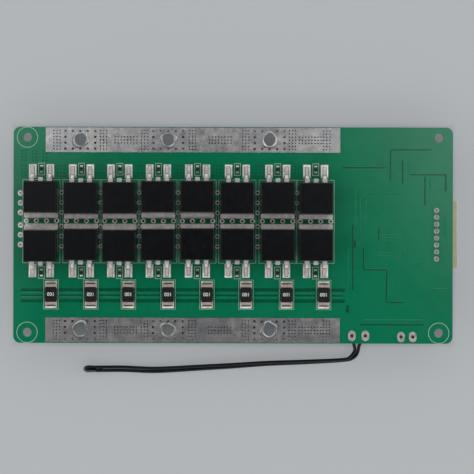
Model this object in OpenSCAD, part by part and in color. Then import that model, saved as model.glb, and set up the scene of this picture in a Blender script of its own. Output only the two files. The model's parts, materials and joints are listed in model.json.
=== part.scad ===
// Battery management board for a seven-cell pack, lying with its control side down.
// The switching side is up, +X points at the balance socket and z = 0 is the surface
// that the tall parts of the control side stand on. Sizes are in millimetres.

/* [Board] */
// Length of the circuit board
board_l = 127; // [124:0.5:140]
// Width of the circuit board
board_w = 62.5; // [62:0.5:75]
// Thickness of the circuit board
board_t = 1.6; // [0.8:0.1:3.2]
// Radius of the board's corners
corner_r = 2; // [0.5:0.25:2.5]
// Thickness of the tinned copper lands
land_t = 0.1; // [0.05:0.01:0.2]
// Gap in the solder mask between neighbouring lands
land_gap = 0.08; // [0.04:0.01:0.15]

/* [Corner holes] */
// Radius of the four corner holes
corner_hole_r = 1.3; // [1:0.05:1.6]
// Corner hole axes to the board's ends
corner_hole_in_x = 4; // [3:0.1:5]
// Corner hole axes to the board's long edges
corner_hole_in_y = 3.05; // [2.5:0.05:5]

/* [Bus strips] */
// Width of each bus strip
strip_w = 7.15; // [6:0.05:8]
// Bus strips to the board's left end
strip_in_x = 9.3; // [8.5:0.1:12]
// Bus strips to the first wire land
strip_gap = 2.4; // [1:0.1:5]
// Bus strips to the board's long edges
strip_in_y = 0.2; // [0.1:0.05:0.6]
// Radius of the terminal holes
terminal_r = 1.65; // [1.2:0.05:2.2]
// First terminal hole from the strip's left end
terminal_1 = 10; // [6:0.1:20]
// Second terminal hole from the strip's left end
terminal_2 = 35.4; // [26:0.1:50]
// Third terminal hole from the strip's left end
terminal_3 = 64.7; // [56:0.1:76]

/* [Switching transistors] */
// Transistors in each row
columns = 8; // [4:1:8]
// Gap between neighbouring moulded bodies
column_gap = 1.42; // [1.3:0.02:1.6]
// Middle of the two rows, above the board's middle
band_y = 4.05; // [3:0.05:5]
// Width of a moulded body
mos_w = 9.9; // [9.6:0.05:10.3]
// Length of a moulded body
mos_l = 9.35; // [8.6:0.05:9.65]
// Height of a moulded body
mos_h = 4.4; // [4.2:0.05:4.7]
// Height of the body's parting line
parting_h = 2.55; // [2.2:0.05:2.8]
// Draft of the body's sides for each millimetre of height
draft = 0.12; // [0.05:0.01:0.18]
// Length of the tab that stands out of the body
tab_out = 1.2; // [1:0.05:1.65]
// Thickness of the tab
tab_t = 1.27; // [1.15:0.01:1.4]
// Tab's sides in from the body's sides
tab_in = 0.1; // [0:0.05:0.3]
// Width of the heat spreader inside the body
spreader_w = 7.8; // [7:0.1:8.5]
// Length of the heat spreader inside the body
spreader_l = 6.4; // [5:0.1:7]
// Round mould mark in the top of a body
mould_mark_r = 0.75; // [0.5:0.05:1]

/* [Transistor leads] */
// Distance between neighbouring leads
lead_pitch = 2.54; // [2.4:0.01:2.7]
// Thickness of a lead
lead_t = 0.5; // [0.4:0.02:0.6]
// Width of a lead's foot
foot_w = 0.8; // [0.7:0.02:0.95]
// Width of a lead's shoulder
shoulder_w = 1.3; // [1.15:0.01:1.4]
// Length of a lead outside the body
lead_out = 4.4; // [4.2:0.05:4.8]
// Length of a lead's shoulder outside the body
shoulder_out = 1; // [0.8:0.05:1.2]
// Length of a lead's foot
foot_l = 2.3; // [2:0.05:2.5]
// Length of each lead inside the body
lead_root = 0.6; // [0.4:0.05:0.9]
// Width of a lead's land
lead_land_w = 2.2; // [1.6:0.05:2.3]
// Length of a lead's land
lead_land_l = 3.9; // [3.4:0.05:4.2]
// Lead's land to the body
lead_land_out = 1.1; // [0.8:0.05:1.3]

/* [Plated rings] */
// Radius of the holes in the rings
via_r = 0.35; // [0.25:0.01:0.4]
// Outer radius of the rings between the rows
band_ring_r = 0.72; // [0.6:0.01:0.8]
// Distance between the rings of one transistor
band_ring_pitch = 2.93; // [2.7:0.01:3]
// Outer radius of the rings between the columns
gap_ring_r = 0.64; // [0.5:0.01:0.7]
// Distance between the rings of one column gap
gap_ring_pitch = 2.9; // [2.6:0.05:3.1]
// Outer radius of the solder-filled pads at the left edge
edge_pad_r = 0.82; // [0.6:0.01:0.85]
// Distance between the pads at the left edge
edge_pad_pitch = 2.82; // [2.6:0.01:3]
// Pads at the left edge to the board's left end
edge_pad_in = 2.1; // [1.8:0.05:2.4]
// Pads at the left edge to the first transistor's body
edge_pad_gap = 0.23; // [0.15:0.01:0.4]

/* [Gate resistors] */
// Length of a gate resistor
gate_l = 1.6; // [1.5:0.02:1.7]
// Width of a gate resistor
gate_w = 0.8; // [0.7:0.02:0.9]
// Height of a gate resistor
gate_h = 0.45; // [0.35:0.01:0.55]
// Length of a gate resistor's tinned end
gate_cap = 0.3; // [0.2:0.01:0.4]
// Gate resistor's middle to the transistor's body
gate_out = 3.6; // [3.4:0.05:4]
// Gate resistor's lands past its ends
gate_land_out = 0.3; // [0.2:0.02:0.35]

/* [Current shunts] */
// Length of a shunt
shunt_l = 6.4; // [6.2:0.05:6.6]
// Width of a shunt
shunt_w = 3.2; // [3:0.05:3.4]
// Height of a shunt
shunt_h = 0.62; // [0.5:0.01:0.8]
// Length of a shunt's tinned end
shunt_cap = 1.02; // [0.8:0.02:1.2]
// Shunt's land to the lead lands of the lower row
shunt_gap = 1.2; // [1:0.05:1.6]
// Shunt's land past the shunt's end
shunt_land_out = 0.5; // [0.3:0.05:0.6]
// Shunt's land past each side of the shunt
shunt_land_side = 0.12; // [0.05:0.01:0.2]
// Shunt's middle to the right of its transistor's middle
shunt_right = 2.66; // [2:0.02:3.4]

/* [Balance socket] */
// Number of pins, one more than the cells
pin_count = 8; // [4:1:9]
// Distance between neighbouring pins
pin_pitch = 2; // [1.8:0.05:2.2]
// Side of a square pin
pin_side = 0.5; // [0.4:0.02:0.55]
// Radius of a pin's hole in the board
pin_hole_r = 0.45; // [0.42:0.01:0.55]
// Pins standing out of the board's upper face
pin_out = 0.8; // [0.5:0.05:1.2]
// Pin row to the board's right end
pin_in = 4.7; // [4.2:0.05:5.2]
// Pin row's middle above the board's middle
pin_row_y = 0.3; // [-2:0.1:2]
// Socket's back to the pin row
socket_back = 1.4; // [1.1:0.05:1.8]
// Pin row to the socket's mouth
socket_front = 6.2; // [5.8:0.05:7]
// Height of the socket
socket_h = 4.8; // [4.4:0.05:5.2]
// Socket's ends past the outer pins
socket_side = 2.75; // [2.2:0.05:3]
// Thickness of the socket's walls
socket_wall = 0.8; // [0.6:0.05:1]
// Depth of the socket's mouth
mouth_depth = 5; // [4:0.05:5.4]
// Width of the keying slots in the socket's lower wall
key_slot_w = 1.5; // [1:0.1:2]
// Length of the keying slots
key_slot_l = 3; // [2:0.1:3.8]
// Radius of a pin's solder joint
joint_r = 0.75; // [0.6:0.01:0.85]

/* [Wire lands and sensor] */
// Sensor's first wire land to the board's right end
wire_in_x = 29.1; // [26:0.1:30]
// Sensor's wire lands to the board's lower edge
wire_in_y = 2.25; // [2:0.05:3]
// Distance between the sensor's two wire lands
wire_pitch = 3.9; // [3.4:0.1:4.4]
// Spare pair's first wire land to the board's right end
spare_in_x = 14.9; // [13:0.1:18]
// Spare pair's wire lands to the board's lower edge
spare_in_y = 1.95; // [1.85:0.05:3]
// Distance between the spare pair's wire lands
spare_pitch = 3.4; // [3:0.1:4]
// Radius of the wire holes
wire_hole_r = 0.5; // [0.4:0.02:0.6]
// Width of a wire land
wire_land_w = 2.2; // [1.8:0.05:2.4]
// Length of a wire land
wire_land_l = 3; // [2.6:0.05:3.2]
// Diameter of each sensor wire
wire_d = 0.95; // [0.8:0.05:1.1]
// Height of the solder under a wire land
wire_joint_h = 1; // [0.8:0.05:1.2]
// Epoxy round the two wires' ends
bead_wall = 0.1; // [0.05:0.01:0.3]
// Length of the bead
bead_l = 3.5; // [3:0.1:6]

/* [Control side] */
// Diameter of a storage capacitor's can
can_d = 5; // [4:0.1:5.6]
// Height of a storage capacitor's can
can_h = 4.5; // [4.3:0.1:6]
// Side of a capacitor's base
can_base = 5.3; // [5.1:0.1:6]
// Height of a capacitor's base
can_base_h = 0.9; // [0.6:0.05:1.2]
// Width of the monitor chip's body
chip_w = 5.3; // [4.4:0.1:6]
// Length of the monitor chip's body
chip_l = 7.2; // [7:0.1:8]
// Height of the monitor chip's body
chip_h = 1.7; // [1.2:0.1:2]
// Leads on each side of the monitor chip
chip_leads = 10; // [6:1:10]
// Distance between neighbouring chip leads
chip_pitch = 0.65; // [0.5:0.01:0.7]
// Length of a chip lead outside the body
chip_lead_out = 1.25; // [1:0.05:1.5]
// Gap between neighbouring columns of parts on the control side
part_gap = 1.3; // [0.8:0.05:1.5]
// Balancing channels, one for each cell
cells = 7; // [3:1:8]
// Distance between neighbouring balancing channels
cell_pitch = 3.6; // [3.4:0.05:3.8]
// Length of a balancing resistor
cell_l = 3.2; // [3:0.05:3.4]
// Width of a balancing resistor
cell_w = 1.6; // [1.4:0.05:1.8]
// Height of a balancing resistor
cell_h = 0.6; // [0.5:0.01:0.7]
// Length of a balancing resistor's tinned end
cell_cap = 0.5; // [0.4:0.02:0.6]
// Length of a balancing transistor's body
sot_l = 2.9; // [2.7:0.05:3.1]
// Width of a balancing transistor's body
sot_w = 1.3; // [1.2:0.05:1.5]
// Height of a balancing transistor's body
sot_h = 1; // [0.9:0.02:1.1]
// Length of a balancing transistor's lead outside the body
sot_lead_out = 0.55; // [0.4:0.05:0.7]
// Length of a filter resistor
filter_l = 1.6; // [1.5:0.02:1.7]
// Width of a filter resistor
filter_w = 0.8; // [0.7:0.02:0.9]
// Height of a filter resistor
filter_h = 0.45; // [0.35:0.01:0.55]
// Length of a filter resistor's tinned end
filter_cap = 0.3; // [0.2:0.01:0.4]

/* [Hidden] */
$fn = 32;

// Colours
mask_green = [0.09, 0.42, 0.30];
tin_grey = [0.72, 0.72, 0.70];
lead_grey = [0.62, 0.63, 0.64];
epoxy_black = [0.09, 0.10, 0.11];
nylon_cream = [0.89, 0.86, 0.74];
wire_black = [0.10, 0.10, 0.12];
code_black = [0.05, 0.05, 0.06];
can_silver = [0.78, 0.79, 0.80];

// Heights of the board and of what stands on it
board_z = max(can_base_h + can_h, socket_h);
top_z = board_z + board_t;
seat_z = top_z + land_t;

// The socket hangs over the right end, and the origin is under the middle of them all
overhang = socket_front - pin_in;
board_x = -max(overhang, 0) / 2;
left_x = -board_l / 2;
right_x = board_l / 2;
edge_y = board_w / 2;

// Wire lands: the first pair takes the sensor, the second is for a spare and stays bare
wire_x = right_x - wire_in_x;
wire_y = wire_in_y - edge_y;
spare_x = right_x - spare_in_x;
spare_y = spare_in_y - edge_y;
wire_lands_at = [
    [wire_x, wire_y], [wire_x + wire_pitch, wire_y],
    [spare_x, spare_y], [spare_x + spare_pitch, spare_y]];
sensor_wires = 2;

// Bus strips: they run from near the left end to near the first wire land
strip_l = wire_x - wire_land_w / 2 - strip_gap - left_x - strip_in_x;
strip_mid_x = left_x + strip_in_x + strip_l / 2;
strip_mid_y = edge_y - strip_in_y - strip_w / 2;
terminals = [for (at = [terminal_1, terminal_2, terminal_3]) left_x + strip_in_x + at];

// Columns of transistors: each sits a little off its place, as parts do after soldering
column_pitch = mos_w + column_gap;
column_nudge = [0, 0.23, 0, -0.17, -0.17, 0, 0.35, 0];
upper_nudge = [0.15, -0.15, -0.1, 0.25, 0.3, -0.05, 0, -0.15];
lower_nudge = [0.55, 0.2, 0.45, 0.2, 0, 0.05, 0.2, 0.2];
shunt_nudge = [0.15, 0.1, -0.1, 0.2, 0.1, -0.1, -0.05, -0.3];
edge_pad_x = left_x + edge_pad_in;
first_column = edge_pad_x + edge_pad_r + edge_pad_gap + mos_w / 2;

// Distances from the middle of the two rows outwards, and the lands' edges past the parts
drain_land_out = 1;
drain_land_in = 0.1;
gate_land_under = 0.15;
shunt_land_under = 0.4;
band_half = band_ring_r + land_gap;
mos_near = band_half + tab_out;
mos_far = mos_near + mos_l;
lead_land_near = mos_far + lead_land_out;
lead_land_far = lead_land_near + lead_land_l;
drain_land_far = mos_near + spreader_l + drain_land_out;
shunt_near = lead_land_far + shunt_gap + shunt_land_out;
lead_bend = 0.25;
gap_ring_up = 2.4;
gap_ring_down = 1.55;
edge_pad_up = 2.35;
edge_pad_down = 1.25;
rings_up_down = 3;

// Balance pins, the socket's span and the height of the pins in its mouth
pin_x = right_x - pin_in;
pin_z = board_z - socket_h / 2;
socket_l = (pin_count - 1) * pin_pitch + 2 * socket_side;
mouth_w = socket_l - 2 * socket_wall;
mouth_h = socket_h - 2 * socket_wall;
mouth_x = pin_x + socket_front - mouth_depth;
pin_tip_in = 1.4;
pin_tip = mouth_depth - pin_tip_in;
key_slot_in = 4;
pin_bend_z = pin_z - pin_side / 2;
joint_foot = 0.1;
joint_waist_r = 0.5;
joint_waist_h = 0.3;
joint_top_r = 0.38;
joint_h = 0.6;

// Control side, from the socket towards the left: the channels' resistors, transistors
// and filters, then the chip and its own filters, with a capacitor near each corner
channel_resistor_x = pin_x - socket_back - 2 * part_gap - cell_l / 2;
channel_x = channel_resistor_x - cell_l / 2 - part_gap - sot_lead_out - sot_w / 2;
channel_filter_x = channel_x - sot_w / 2 - sot_lead_out - part_gap - filter_w / 2;
chip_x = channel_filter_x - filter_w / 2 - part_gap - chip_lead_out - chip_w / 2;
chip_filter_x = chip_x - chip_w / 2 - chip_lead_out - part_gap - filter_w / 2;
chip_y = 2.5;
channel_y = 1;
chip_filters = 5;
lead_foil = 0.2;
lead_knee = 0.3; // Share of a gull lead's length up to its knee
lead_heel = 0.4; // Share of a gull lead's length up to its foot
chip_lead_w = 0.3;
sot_lead_w = 0.4;
stand_off = 0.1;
mould_mark_in_x = 2.2;
mould_mark_in_y = 2;
mould_mark_depth = 0.08;
can_base_cut = 0.2; // Share of a capacitor base's side
cans_at = [[left_x + 8, 13], [left_x + 8, -12], [chip_x - 1, 20], [chip_x - 1, -17.5]];

// Sensor wires, in X and Y from the first wire land: a leg from each land, then the
// pair's middle line with its roll and its lift off the surface, ending in the bead
pair_half = (wire_d + 0.05) / 2;
leg_a = [[0, -0.05, 3.5], [0.2, -0.7, 2.1], [0.7, -1.9, 1.2], [1.15, -3.3, 0.75]];
leg_b = [[3.9, -0.05, 3.5], [3.7, -0.7, 2.1], [3.2, -1.9, 1.2], [2.55, -3.3, 0.75]];
pair_route = [
    [1.8, -4.7, 0, 0], [1.2, -5.9, 15, 0], [0.1, -6.85, 45, 0], [-1.4, -7.35, 70, 0],
    [-6, -7.7, 66, 0], [-14.4, -8.1, 58, 0], [-24.4, -8.5, 50, 0], [-34.4, -9.2, 40, 0],
    [-44.4, -9.8, 30, 0], [-52.4, -10.3, 20, 0], [-58.4, -10.5, 12, 0],
    [-65.9, -10.2, 5, 0.02], [-70.4, -10.2, 0, 0.12], [-74.6, -10.2, 0, bead_wall + wire_d / 2],
];
wire_sides = 8;
wire_steps = 2;
bead_r = wire_d + bead_wall;
joint_wall = 0.12;
joint_fill = 0.4; // Share of the board's thickness that the solder reaches up

mosfets = 2 * columns;

function column_x(i) = first_column + i * column_pitch + column_nudge[i];
function gap_x(i) = (column_x(i) + column_x(i + 1)) / 2;
function pin_y(i) = pin_row_y + (i - (pin_count - 1) / 2) * pin_pitch;
function channel_at(i) = channel_y + (i - (cells - 1) / 2) * cell_pitch;

// ---- General shapes ----

// Puts its children in the board's own X and Y, at the height z
module on_board(z = 0) {
    translate([board_x, 0, z]) children();
}

// Puts its children at the middle of the rows in a column, +Y pointing outwards
module in_row(i, upper, z) {
    on_board(z) translate([column_x(i), band_y, 0]) rotate(upper ? 0 : 180) children();
}

// Flat plate with rounded corners, as an outline
module rounded_rectangle(l, w, r) {
    square([l - 2 * r, w], center = true);
    square([l, w - 2 * r], center = true);
    for (x = [-1, 1], y = [-1, 1])
        translate([x * (l / 2 - r), y * (w / 2 - r)]) circle(r);
}

// Oval with its long axis along Y, as an outline
module oval(w, l) {
    square([w, l - w], center = true);
    for (y = [-1, 1]) translate([0, y * (l - w) / 2]) circle(w / 2);
}

// Box centred on X and Y that stands on its base
module block(x, y, z) {
    translate([-x / 2, -y / 2, 0]) cube([x, y, z]);
}

// Two boxes at the ends of a part that lies along Y
module end_blocks(w, l, end_l, h) {
    for (y = [-1, 1]) translate([0, y * (l - end_l) / 2, 0]) block(w, end_l, h);
}

// Moulded block from y = 0 to y = l whose sides draw in from the parting line
module drafted_block(w, l, h, part_h) {
    low = part_h * draft;
    high = (h - part_h) * draft;
    intersection() {
        translate([0, l, 0]) rotate([90, 0, 0]) linear_extrude(l) polygon([
            [low - w / 2, 0], [w / 2 - low, 0], [w / 2, part_h],
            [w / 2 - high, h], [high - w / 2, h], [-w / 2, part_h]]);
        translate([-w / 2, 0, 0]) rotate([90, 0, 90]) linear_extrude(w) polygon([
            [low, 0], [l - low, 0], [l, part_h], [l - high, h], [high, h], [0, part_h]]);
    }
}

// ---- Holes and the places of the plated rings ----

// Children at each ring between the rows
module at_band_rings() {
    for (i = [0:columns - 1], j = [0:3])
        translate([column_x(i) + (j - 1.5) * band_ring_pitch, band_y, 0]) children();
}

// Children at each ring between the columns; the last gap has only its upper rings
module at_gap_rings() {
    for (i = [0:columns - 2], j = [0:rings_up_down - 1]) {
        translate([gap_x(i), band_y + gap_ring_up + j * gap_ring_pitch, 0]) children();
        if (i < columns - 2)
            translate([gap_x(i), band_y - gap_ring_down - j * gap_ring_pitch, 0]) children();
    }
}

// Children at each solder-filled pad of the left edge
module at_edge_pads() {
    for (j = [0:rings_up_down - 1]) {
        translate([edge_pad_x, band_y + edge_pad_up + j * edge_pad_pitch, 0]) children();
        translate([edge_pad_x, band_y - edge_pad_down - j * edge_pad_pitch, 0]) children();
    }
}

// Children at each corner hole
module at_corner_holes() {
    for (x = [-1, 1], y = [-1, 1])
        translate([x * (board_l / 2 - corner_hole_in_x), y * (edge_y - corner_hole_in_y), 0])
            children();
}

// ---- Board and its lands ----

module circuit_board() {
    color(mask_green) on_board(board_z) linear_extrude(board_t) difference() {
        rounded_rectangle(board_l, board_w, corner_r);
        at_corner_holes() circle(corner_hole_r);
        for (x = terminals, y = [-1, 1]) translate([x, y * strip_mid_y]) circle(terminal_r);
        at_band_rings() circle(via_r);
        at_gap_rings() circle(via_r);
        for (i = [0:pin_count - 1]) translate([pin_x, pin_y(i)]) circle(pin_hole_r);
        for (at = wire_lands_at) translate(at) circle(wire_hole_r);
    }
}

// Bus strip along the upper (side = 1) or the lower (side = -1) long edge
module bus_strip(side) {
    color(tin_grey) on_board(top_z) linear_extrude(land_t) difference() {
        translate([strip_mid_x, side * strip_mid_y]) square([strip_l, strip_w], center = true);
        for (x = terminals) translate([x, side * strip_mid_y]) circle(terminal_r);
    }
}

// Tinned copper under each transistor's tab, kept clear of the rings beside it
module drain_lands() {
    w = mos_w - 2 * (tab_in + drain_land_in);
    color(tin_grey) on_board(top_z) linear_extrude(land_t) difference() {
        for (i = [0:columns - 1], side = [-1, 1])
            translate([column_x(i), band_y + side * (band_half + drain_land_far) / 2])
                square([w, drain_land_far - band_half], center = true);
        at_gap_rings() circle(gap_ring_r + land_gap);
    }
}

// Lands of the leads, the gate resistors and the shunts
module component_lands() {
    gate_land_l = gate_cap + gate_land_out + gate_land_under;
    gate_land_at = gate_l / 2 + gate_land_out - gate_land_l / 2;
    shunt_land_l = shunt_cap + shunt_land_out + shunt_land_under;
    color(tin_grey) {
        for (i = [0:columns - 1], upper = [true, false]) in_row(i, upper, top_z) {
            for (x = [-1, 1])
                translate([x * lead_pitch, lead_land_near + lead_land_l / 2, 0])
                    block(lead_land_w, lead_land_l, land_t);
            for (y = [-1, 1])
                translate([0, mos_far + gate_out + y * gate_land_at, 0])
                    block(gate_w, gate_land_l, land_t);
        }
        at_shunts(top_z)
            end_blocks(shunt_w + 2 * shunt_land_side, shunt_l + 2 * shunt_land_out,
                shunt_land_l, land_t);
    }
}

// Tinned rings round the plated holes, and the filled pads of the left edge
module via_rings() {
    color(tin_grey) on_board(top_z) {
        linear_extrude(land_t) {
            at_band_rings() difference() {
                circle(band_ring_r);
                circle(via_r);
            }
            at_gap_rings() difference() {
                circle(gap_ring_r);
                circle(via_r);
            }
        }
        at_edge_pads() cylinder(h = land_t, r = edge_pad_r);
    }
}

module wire_lands() {
    color(tin_grey) on_board(top_z) linear_extrude(land_t)
        for (at = wire_lands_at) translate(at) difference() {
            oval(wire_land_w, wire_land_l);
            circle(wire_hole_r);
        }
}

// ---- Switching transistors ----

// Tab, heat spreader and leads of one transistor, from y = 0 at its moulded body's near face
module transistor_metal() {
    tab_w = mos_w - 2 * tab_in;
    translate([0, -tab_out / 2, 0]) block(tab_w, tab_out, tab_t);
    translate([0, spreader_l / 2, 0]) block(spreader_w, spreader_l, tab_t);
    for (x = [-1, 1]) translate([x * lead_pitch, mos_l, 0]) bent_lead();
    translate([0, mos_l + (shoulder_out - lead_root) / 2, parting_h - lead_t / 2])
        block(shoulder_w, lead_root + shoulder_out, lead_t);
}

// Lead with a wide shoulder, bent down to a narrower foot, from y = 0 at the body
module bent_lead() {
    low = parting_h - lead_t / 2;
    high = parting_h + lead_t / 2;
    heel = lead_out - foot_l;
    intersection() {
        translate([-shoulder_w / 2, 0, 0]) rotate([90, 0, 90]) linear_extrude(shoulder_w)
            polygon([
                [-lead_root, low], [shoulder_out - lead_bend, low], [heel - lead_bend, 0],
                [lead_out, 0],
                [lead_out, lead_t], [heel, lead_t], [shoulder_out, high], [-lead_root, high]]);
        union() {
            translate([0, (shoulder_out - lead_root) / 2, 0])
                block(shoulder_w, lead_root + shoulder_out, high);
            translate([0, lead_out / 2, 0]) block(foot_w, lead_out, high);
        }
    }
}

// Children at the near face of transistor k: 1 to 8 in the upper row, then the lower row
module at_transistor(k) {
    upper = k <= columns;
    i = upper ? k - 1 : k - columns - 1;
    nudge = upper ? upper_nudge[i] : lower_nudge[i];
    in_row(i, upper, seat_z) translate([0, mos_near + nudge, 0]) children();
}

module mosfet_body(k) {
    color(epoxy_black) at_transistor(k) difference() {
        drafted_block(mos_w, mos_l, mos_h, parting_h);
        transistor_metal();
        translate([mos_w / 2 - mould_mark_in_x, mould_mark_in_y, mos_h - mould_mark_depth])
            cylinder(h = 1, r = mould_mark_r);
    }
}

module mosfet_frame(k) {
    color(lead_grey) at_transistor(k) transistor_metal();
}

// ---- Resistors of the switching side ----

// Children at the middle of each shunt, at the height z
module at_shunts(z) {
    for (i = [0:columns - 1])
        on_board(z)
            translate([column_x(i) + shunt_right + shunt_nudge[i],
                band_y - shunt_near - shunt_l / 2, 0])
                children();
}

// Children at the middle of each gate resistor
module at_gates() {
    for (i = [0:columns - 1], upper = [true, false])
        in_row(i, upper, seat_z) translate([0, mos_far + gate_out, 0]) children();
}

module shunt_resistors() {
    color(code_black) at_shunts(seat_z) block(shunt_w, shunt_l - 2 * shunt_cap, shunt_h);
}

module shunt_ends() {
    color(tin_grey) at_shunts(seat_z) end_blocks(shunt_w, shunt_l, shunt_cap, shunt_h);
}

module gate_resistors() {
    color(code_black) at_gates() block(gate_w, gate_l - 2 * gate_cap, gate_h);
}

module gate_resistor_ends() {
    color(tin_grey) at_gates() end_blocks(gate_w, gate_l, gate_cap, gate_h);
}

// ---- Balance socket ----

// Pins that come through the board and turn into the socket's mouth
module pin_set() {
    for (i = [0:pin_count - 1]) translate([pin_x, pin_y(i), 0]) {
        translate([0, 0, pin_bend_z]) block(pin_side, pin_side, top_z + pin_out - pin_bend_z);
        translate([-pin_side / 2, -pin_side / 2, pin_bend_z])
            cube([mouth_x - pin_x + pin_side / 2 + pin_tip, pin_side, pin_side]);
    }
}

module balance_pins() {
    color(lead_grey) on_board() pin_set();
}

module balance_socket() {
    color(nylon_cream) on_board() difference() {
        translate([pin_x - socket_back, pin_row_y - socket_l / 2, board_z - socket_h])
            cube([socket_back + socket_front, socket_l, socket_h]);
        translate([mouth_x, pin_row_y - mouth_w / 2, pin_z - mouth_h / 2])
            cube([mouth_depth + 1, mouth_w, mouth_h]);
        for (y = [-1, 1])
            translate([pin_x + socket_front - key_slot_l,
                pin_row_y + y * (socket_l / 2 - key_slot_in) - key_slot_w / 2, board_z - socket_h - 1])
                cube([key_slot_l + 1, key_slot_w, 1 + socket_h / 2]);
        pin_set();
    }
}

// Solder cones on the board round the pins
module balance_joints() {
    color(tin_grey) on_board() difference() {
        for (i = [0:pin_count - 1]) translate([pin_x, pin_y(i), top_z]) rotate_extrude()
            polygon([
                [0, 0], [joint_r, 0], [joint_r, joint_foot], [joint_waist_r, joint_waist_h],
                [joint_top_r, joint_h], [0, joint_h]]);
        pin_set();
    }
}

// ---- Temperature sensor ----

// Solder under the sensor's lands, each with a plug that reaches up its hole
module wire_joints() {
    color(tin_grey) on_board(board_z) for (i = [0:sensor_wires - 1])
        translate(wire_lands_at[i]) rotate_extrude() polygon([
            [0, -wire_joint_h], [wire_d / 2 + joint_wall, -wire_joint_h], [wire_land_w / 2, 0],
            [wire_hole_r, 0], [wire_hole_r, board_t * joint_fill], [0, board_t * joint_fill]]);
}

// Point i of one wire of the pair, on the side that side names
function pair_point(i, side) =
    let (last = len(pair_route) - 1,
        p = pair_route[i],
        before = pair_route[max(i - 1, 0)],
        after = pair_route[min(i + 1, last)],
        along = [after[0] - before[0], after[1] - before[1]],
        across = [along[1], -along[0]] / norm(along),
        out = side * pair_half * cos(p[2]),
        up = (side + 1) * pair_half * sin(p[2]))
    [p[0] + out * across[0], p[1] + out * across[1], wire_d / 2 + p[3] + up];

function wire_points(i, leg, side) = concat(
    [[i * wire_pitch, 0, board_z - wire_joint_h]],
    leg,
    [for (j = [0:len(pair_route) - 1]) pair_point(j, side)]);

// Smooth curve through the points p, with wire_steps pieces between neighbours
function smooth(p) = concat(
    [for (i = [0:len(p) - 2], s = [0:wire_steps - 1])
        let (t = s / wire_steps,
            a = i == 0 ? 2 * p[0] - p[1] : p[i - 1],
            d = i == len(p) - 2 ? 2 * p[i + 1] - p[i] : p[i + 2])
        0.5 * (2 * p[i] + (p[i + 1] - a) * t
            + (2 * a - 5 * p[i] + 4 * p[i + 1] - d) * t * t
            + (3 * p[i] - a - 3 * p[i + 1] + d) * t * t * t)],
    [p[len(p) - 1]]);

function unit(v) = v / norm(v);

// Round tube along the points line, as one polyhedron
module tube(line, r) {
    n = wire_sides;
    rings = len(line);
    aside = [1, -1, 1];
    points = [for (i = [0:rings - 1])
        let (along = i == 0 ? [0, 0, -1] : i == rings - 1 ? [-1, 0, 0]
                : unit(line[i + 1] - line[i - 1]),
            u = unit(cross(along, aside)),
            v = cross(along, u))
        for (k = [0:n - 1]) line[i] + r * (cos(360 * k / n) * u + sin(360 * k / n) * v)];
    polyhedron(points, concat(
        [[for (k = [0:n - 1]) k]],
        [for (i = [0:rings - 2], k = [0:n - 1])
            let (m = (k + 1) % n)
            [i * n + k, (i + 1) * n + k, (i + 1) * n + m, i * n + m]],
        [[for (k = [0:n - 1]) rings * n - 1 - k]]), convexity = 6);
}

// Children with the first wire land at X = 0 and Y = 0, and the surface at z = 0
module at_sensor() {
    on_board() translate([wire_x, wire_y, 0]) children();
}

module sensor_wire_a() {
    color(wire_black) at_sensor() tube(smooth(wire_points(0, leg_a, 1)), wire_d / 2);
}

module sensor_wire_b() {
    color(wire_black) at_sensor() tube(smooth(wire_points(1, leg_b, -1)), wire_d / 2);
}

// Epoxy drop on the wires' ends, round at its far end
module sensor_bead() {
    end = pair_route[len(pair_route) - 1];
    color(wire_black) at_sensor() translate([end[0], end[1], bead_r]) rotate([0, -90, 0])
        rotate_extrude() union() {
            square([bead_r, bead_l - bead_r]);
            intersection() {
                translate([0, bead_l - bead_r]) circle(bead_r);
                translate([0, bead_l - bead_r]) square(bead_r);
            }
        }
}

// ---- Control side, under the board: z counts downwards from the board's lower face ----

module under_board() {
    on_board(board_z) mirror([0, 0, 1]) children();
}

module storage_capacitors() {
    color(can_silver) under_board() for (at = cans_at)
        translate([at[0], at[1], can_base_h]) cylinder(h = can_h, d = can_d);
}

module capacitor_bases() {
    cut = can_base * can_base_cut;
    half = can_base / 2;
    color(epoxy_black) under_board() for (at = cans_at) translate(at)
        linear_extrude(can_base_h) polygon([
            [-half, -half], [half, -half], [half, half - cut], [half - cut, half],
            [cut - half, half], [-half, half - cut]]);
}

// Gull-wing lead from y = 0 at a body's side to y = out, with its root at the height mid
module gull_lead(w, out, mid) {
    translate([-w / 2, 0, 0]) rotate([90, 0, 90]) linear_extrude(w) polygon([
        [0, mid - lead_foil / 2], [out * lead_knee, mid - lead_foil / 2], [out * lead_heel, 0], [out, 0],
        [out, lead_foil], [out * lead_heel + lead_foil, lead_foil],
        [out * lead_knee + lead_foil, mid + lead_foil / 2], [0, mid + lead_foil / 2]]);
}

module monitor_chip() {
    color(epoxy_black) under_board() translate([chip_x, chip_y, stand_off])
        block(chip_w, chip_l, chip_h);
}

module monitor_chip_leads() {
    color(lead_grey) under_board() translate([chip_x, chip_y, 0])
        for (side = [-90, 90], i = [0:chip_leads - 1]) rotate(side)
            translate([(i - (chip_leads - 1) / 2) * chip_pitch, chip_w / 2, 0])
                gull_lead(chip_lead_w, chip_lead_out, stand_off + chip_h / 2);
}

// Children at each balancing channel, in the column at x
module at_channels(x) {
    under_board() for (i = [0:cells - 1]) translate([x, channel_at(i), 0]) children();
}

module cell_resistors() {
    color(code_black) at_channels(channel_resistor_x)
        rotate(90) block(cell_w, cell_l - 2 * cell_cap, cell_h);
}

module cell_resistor_ends() {
    color(tin_grey) at_channels(channel_resistor_x)
        rotate(90) end_blocks(cell_w, cell_l, cell_cap, cell_h);
}

module cell_transistors() {
    color(epoxy_black) at_channels(channel_x) translate([0, 0, stand_off])
        block(sot_w, sot_l, sot_h);
}

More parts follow.
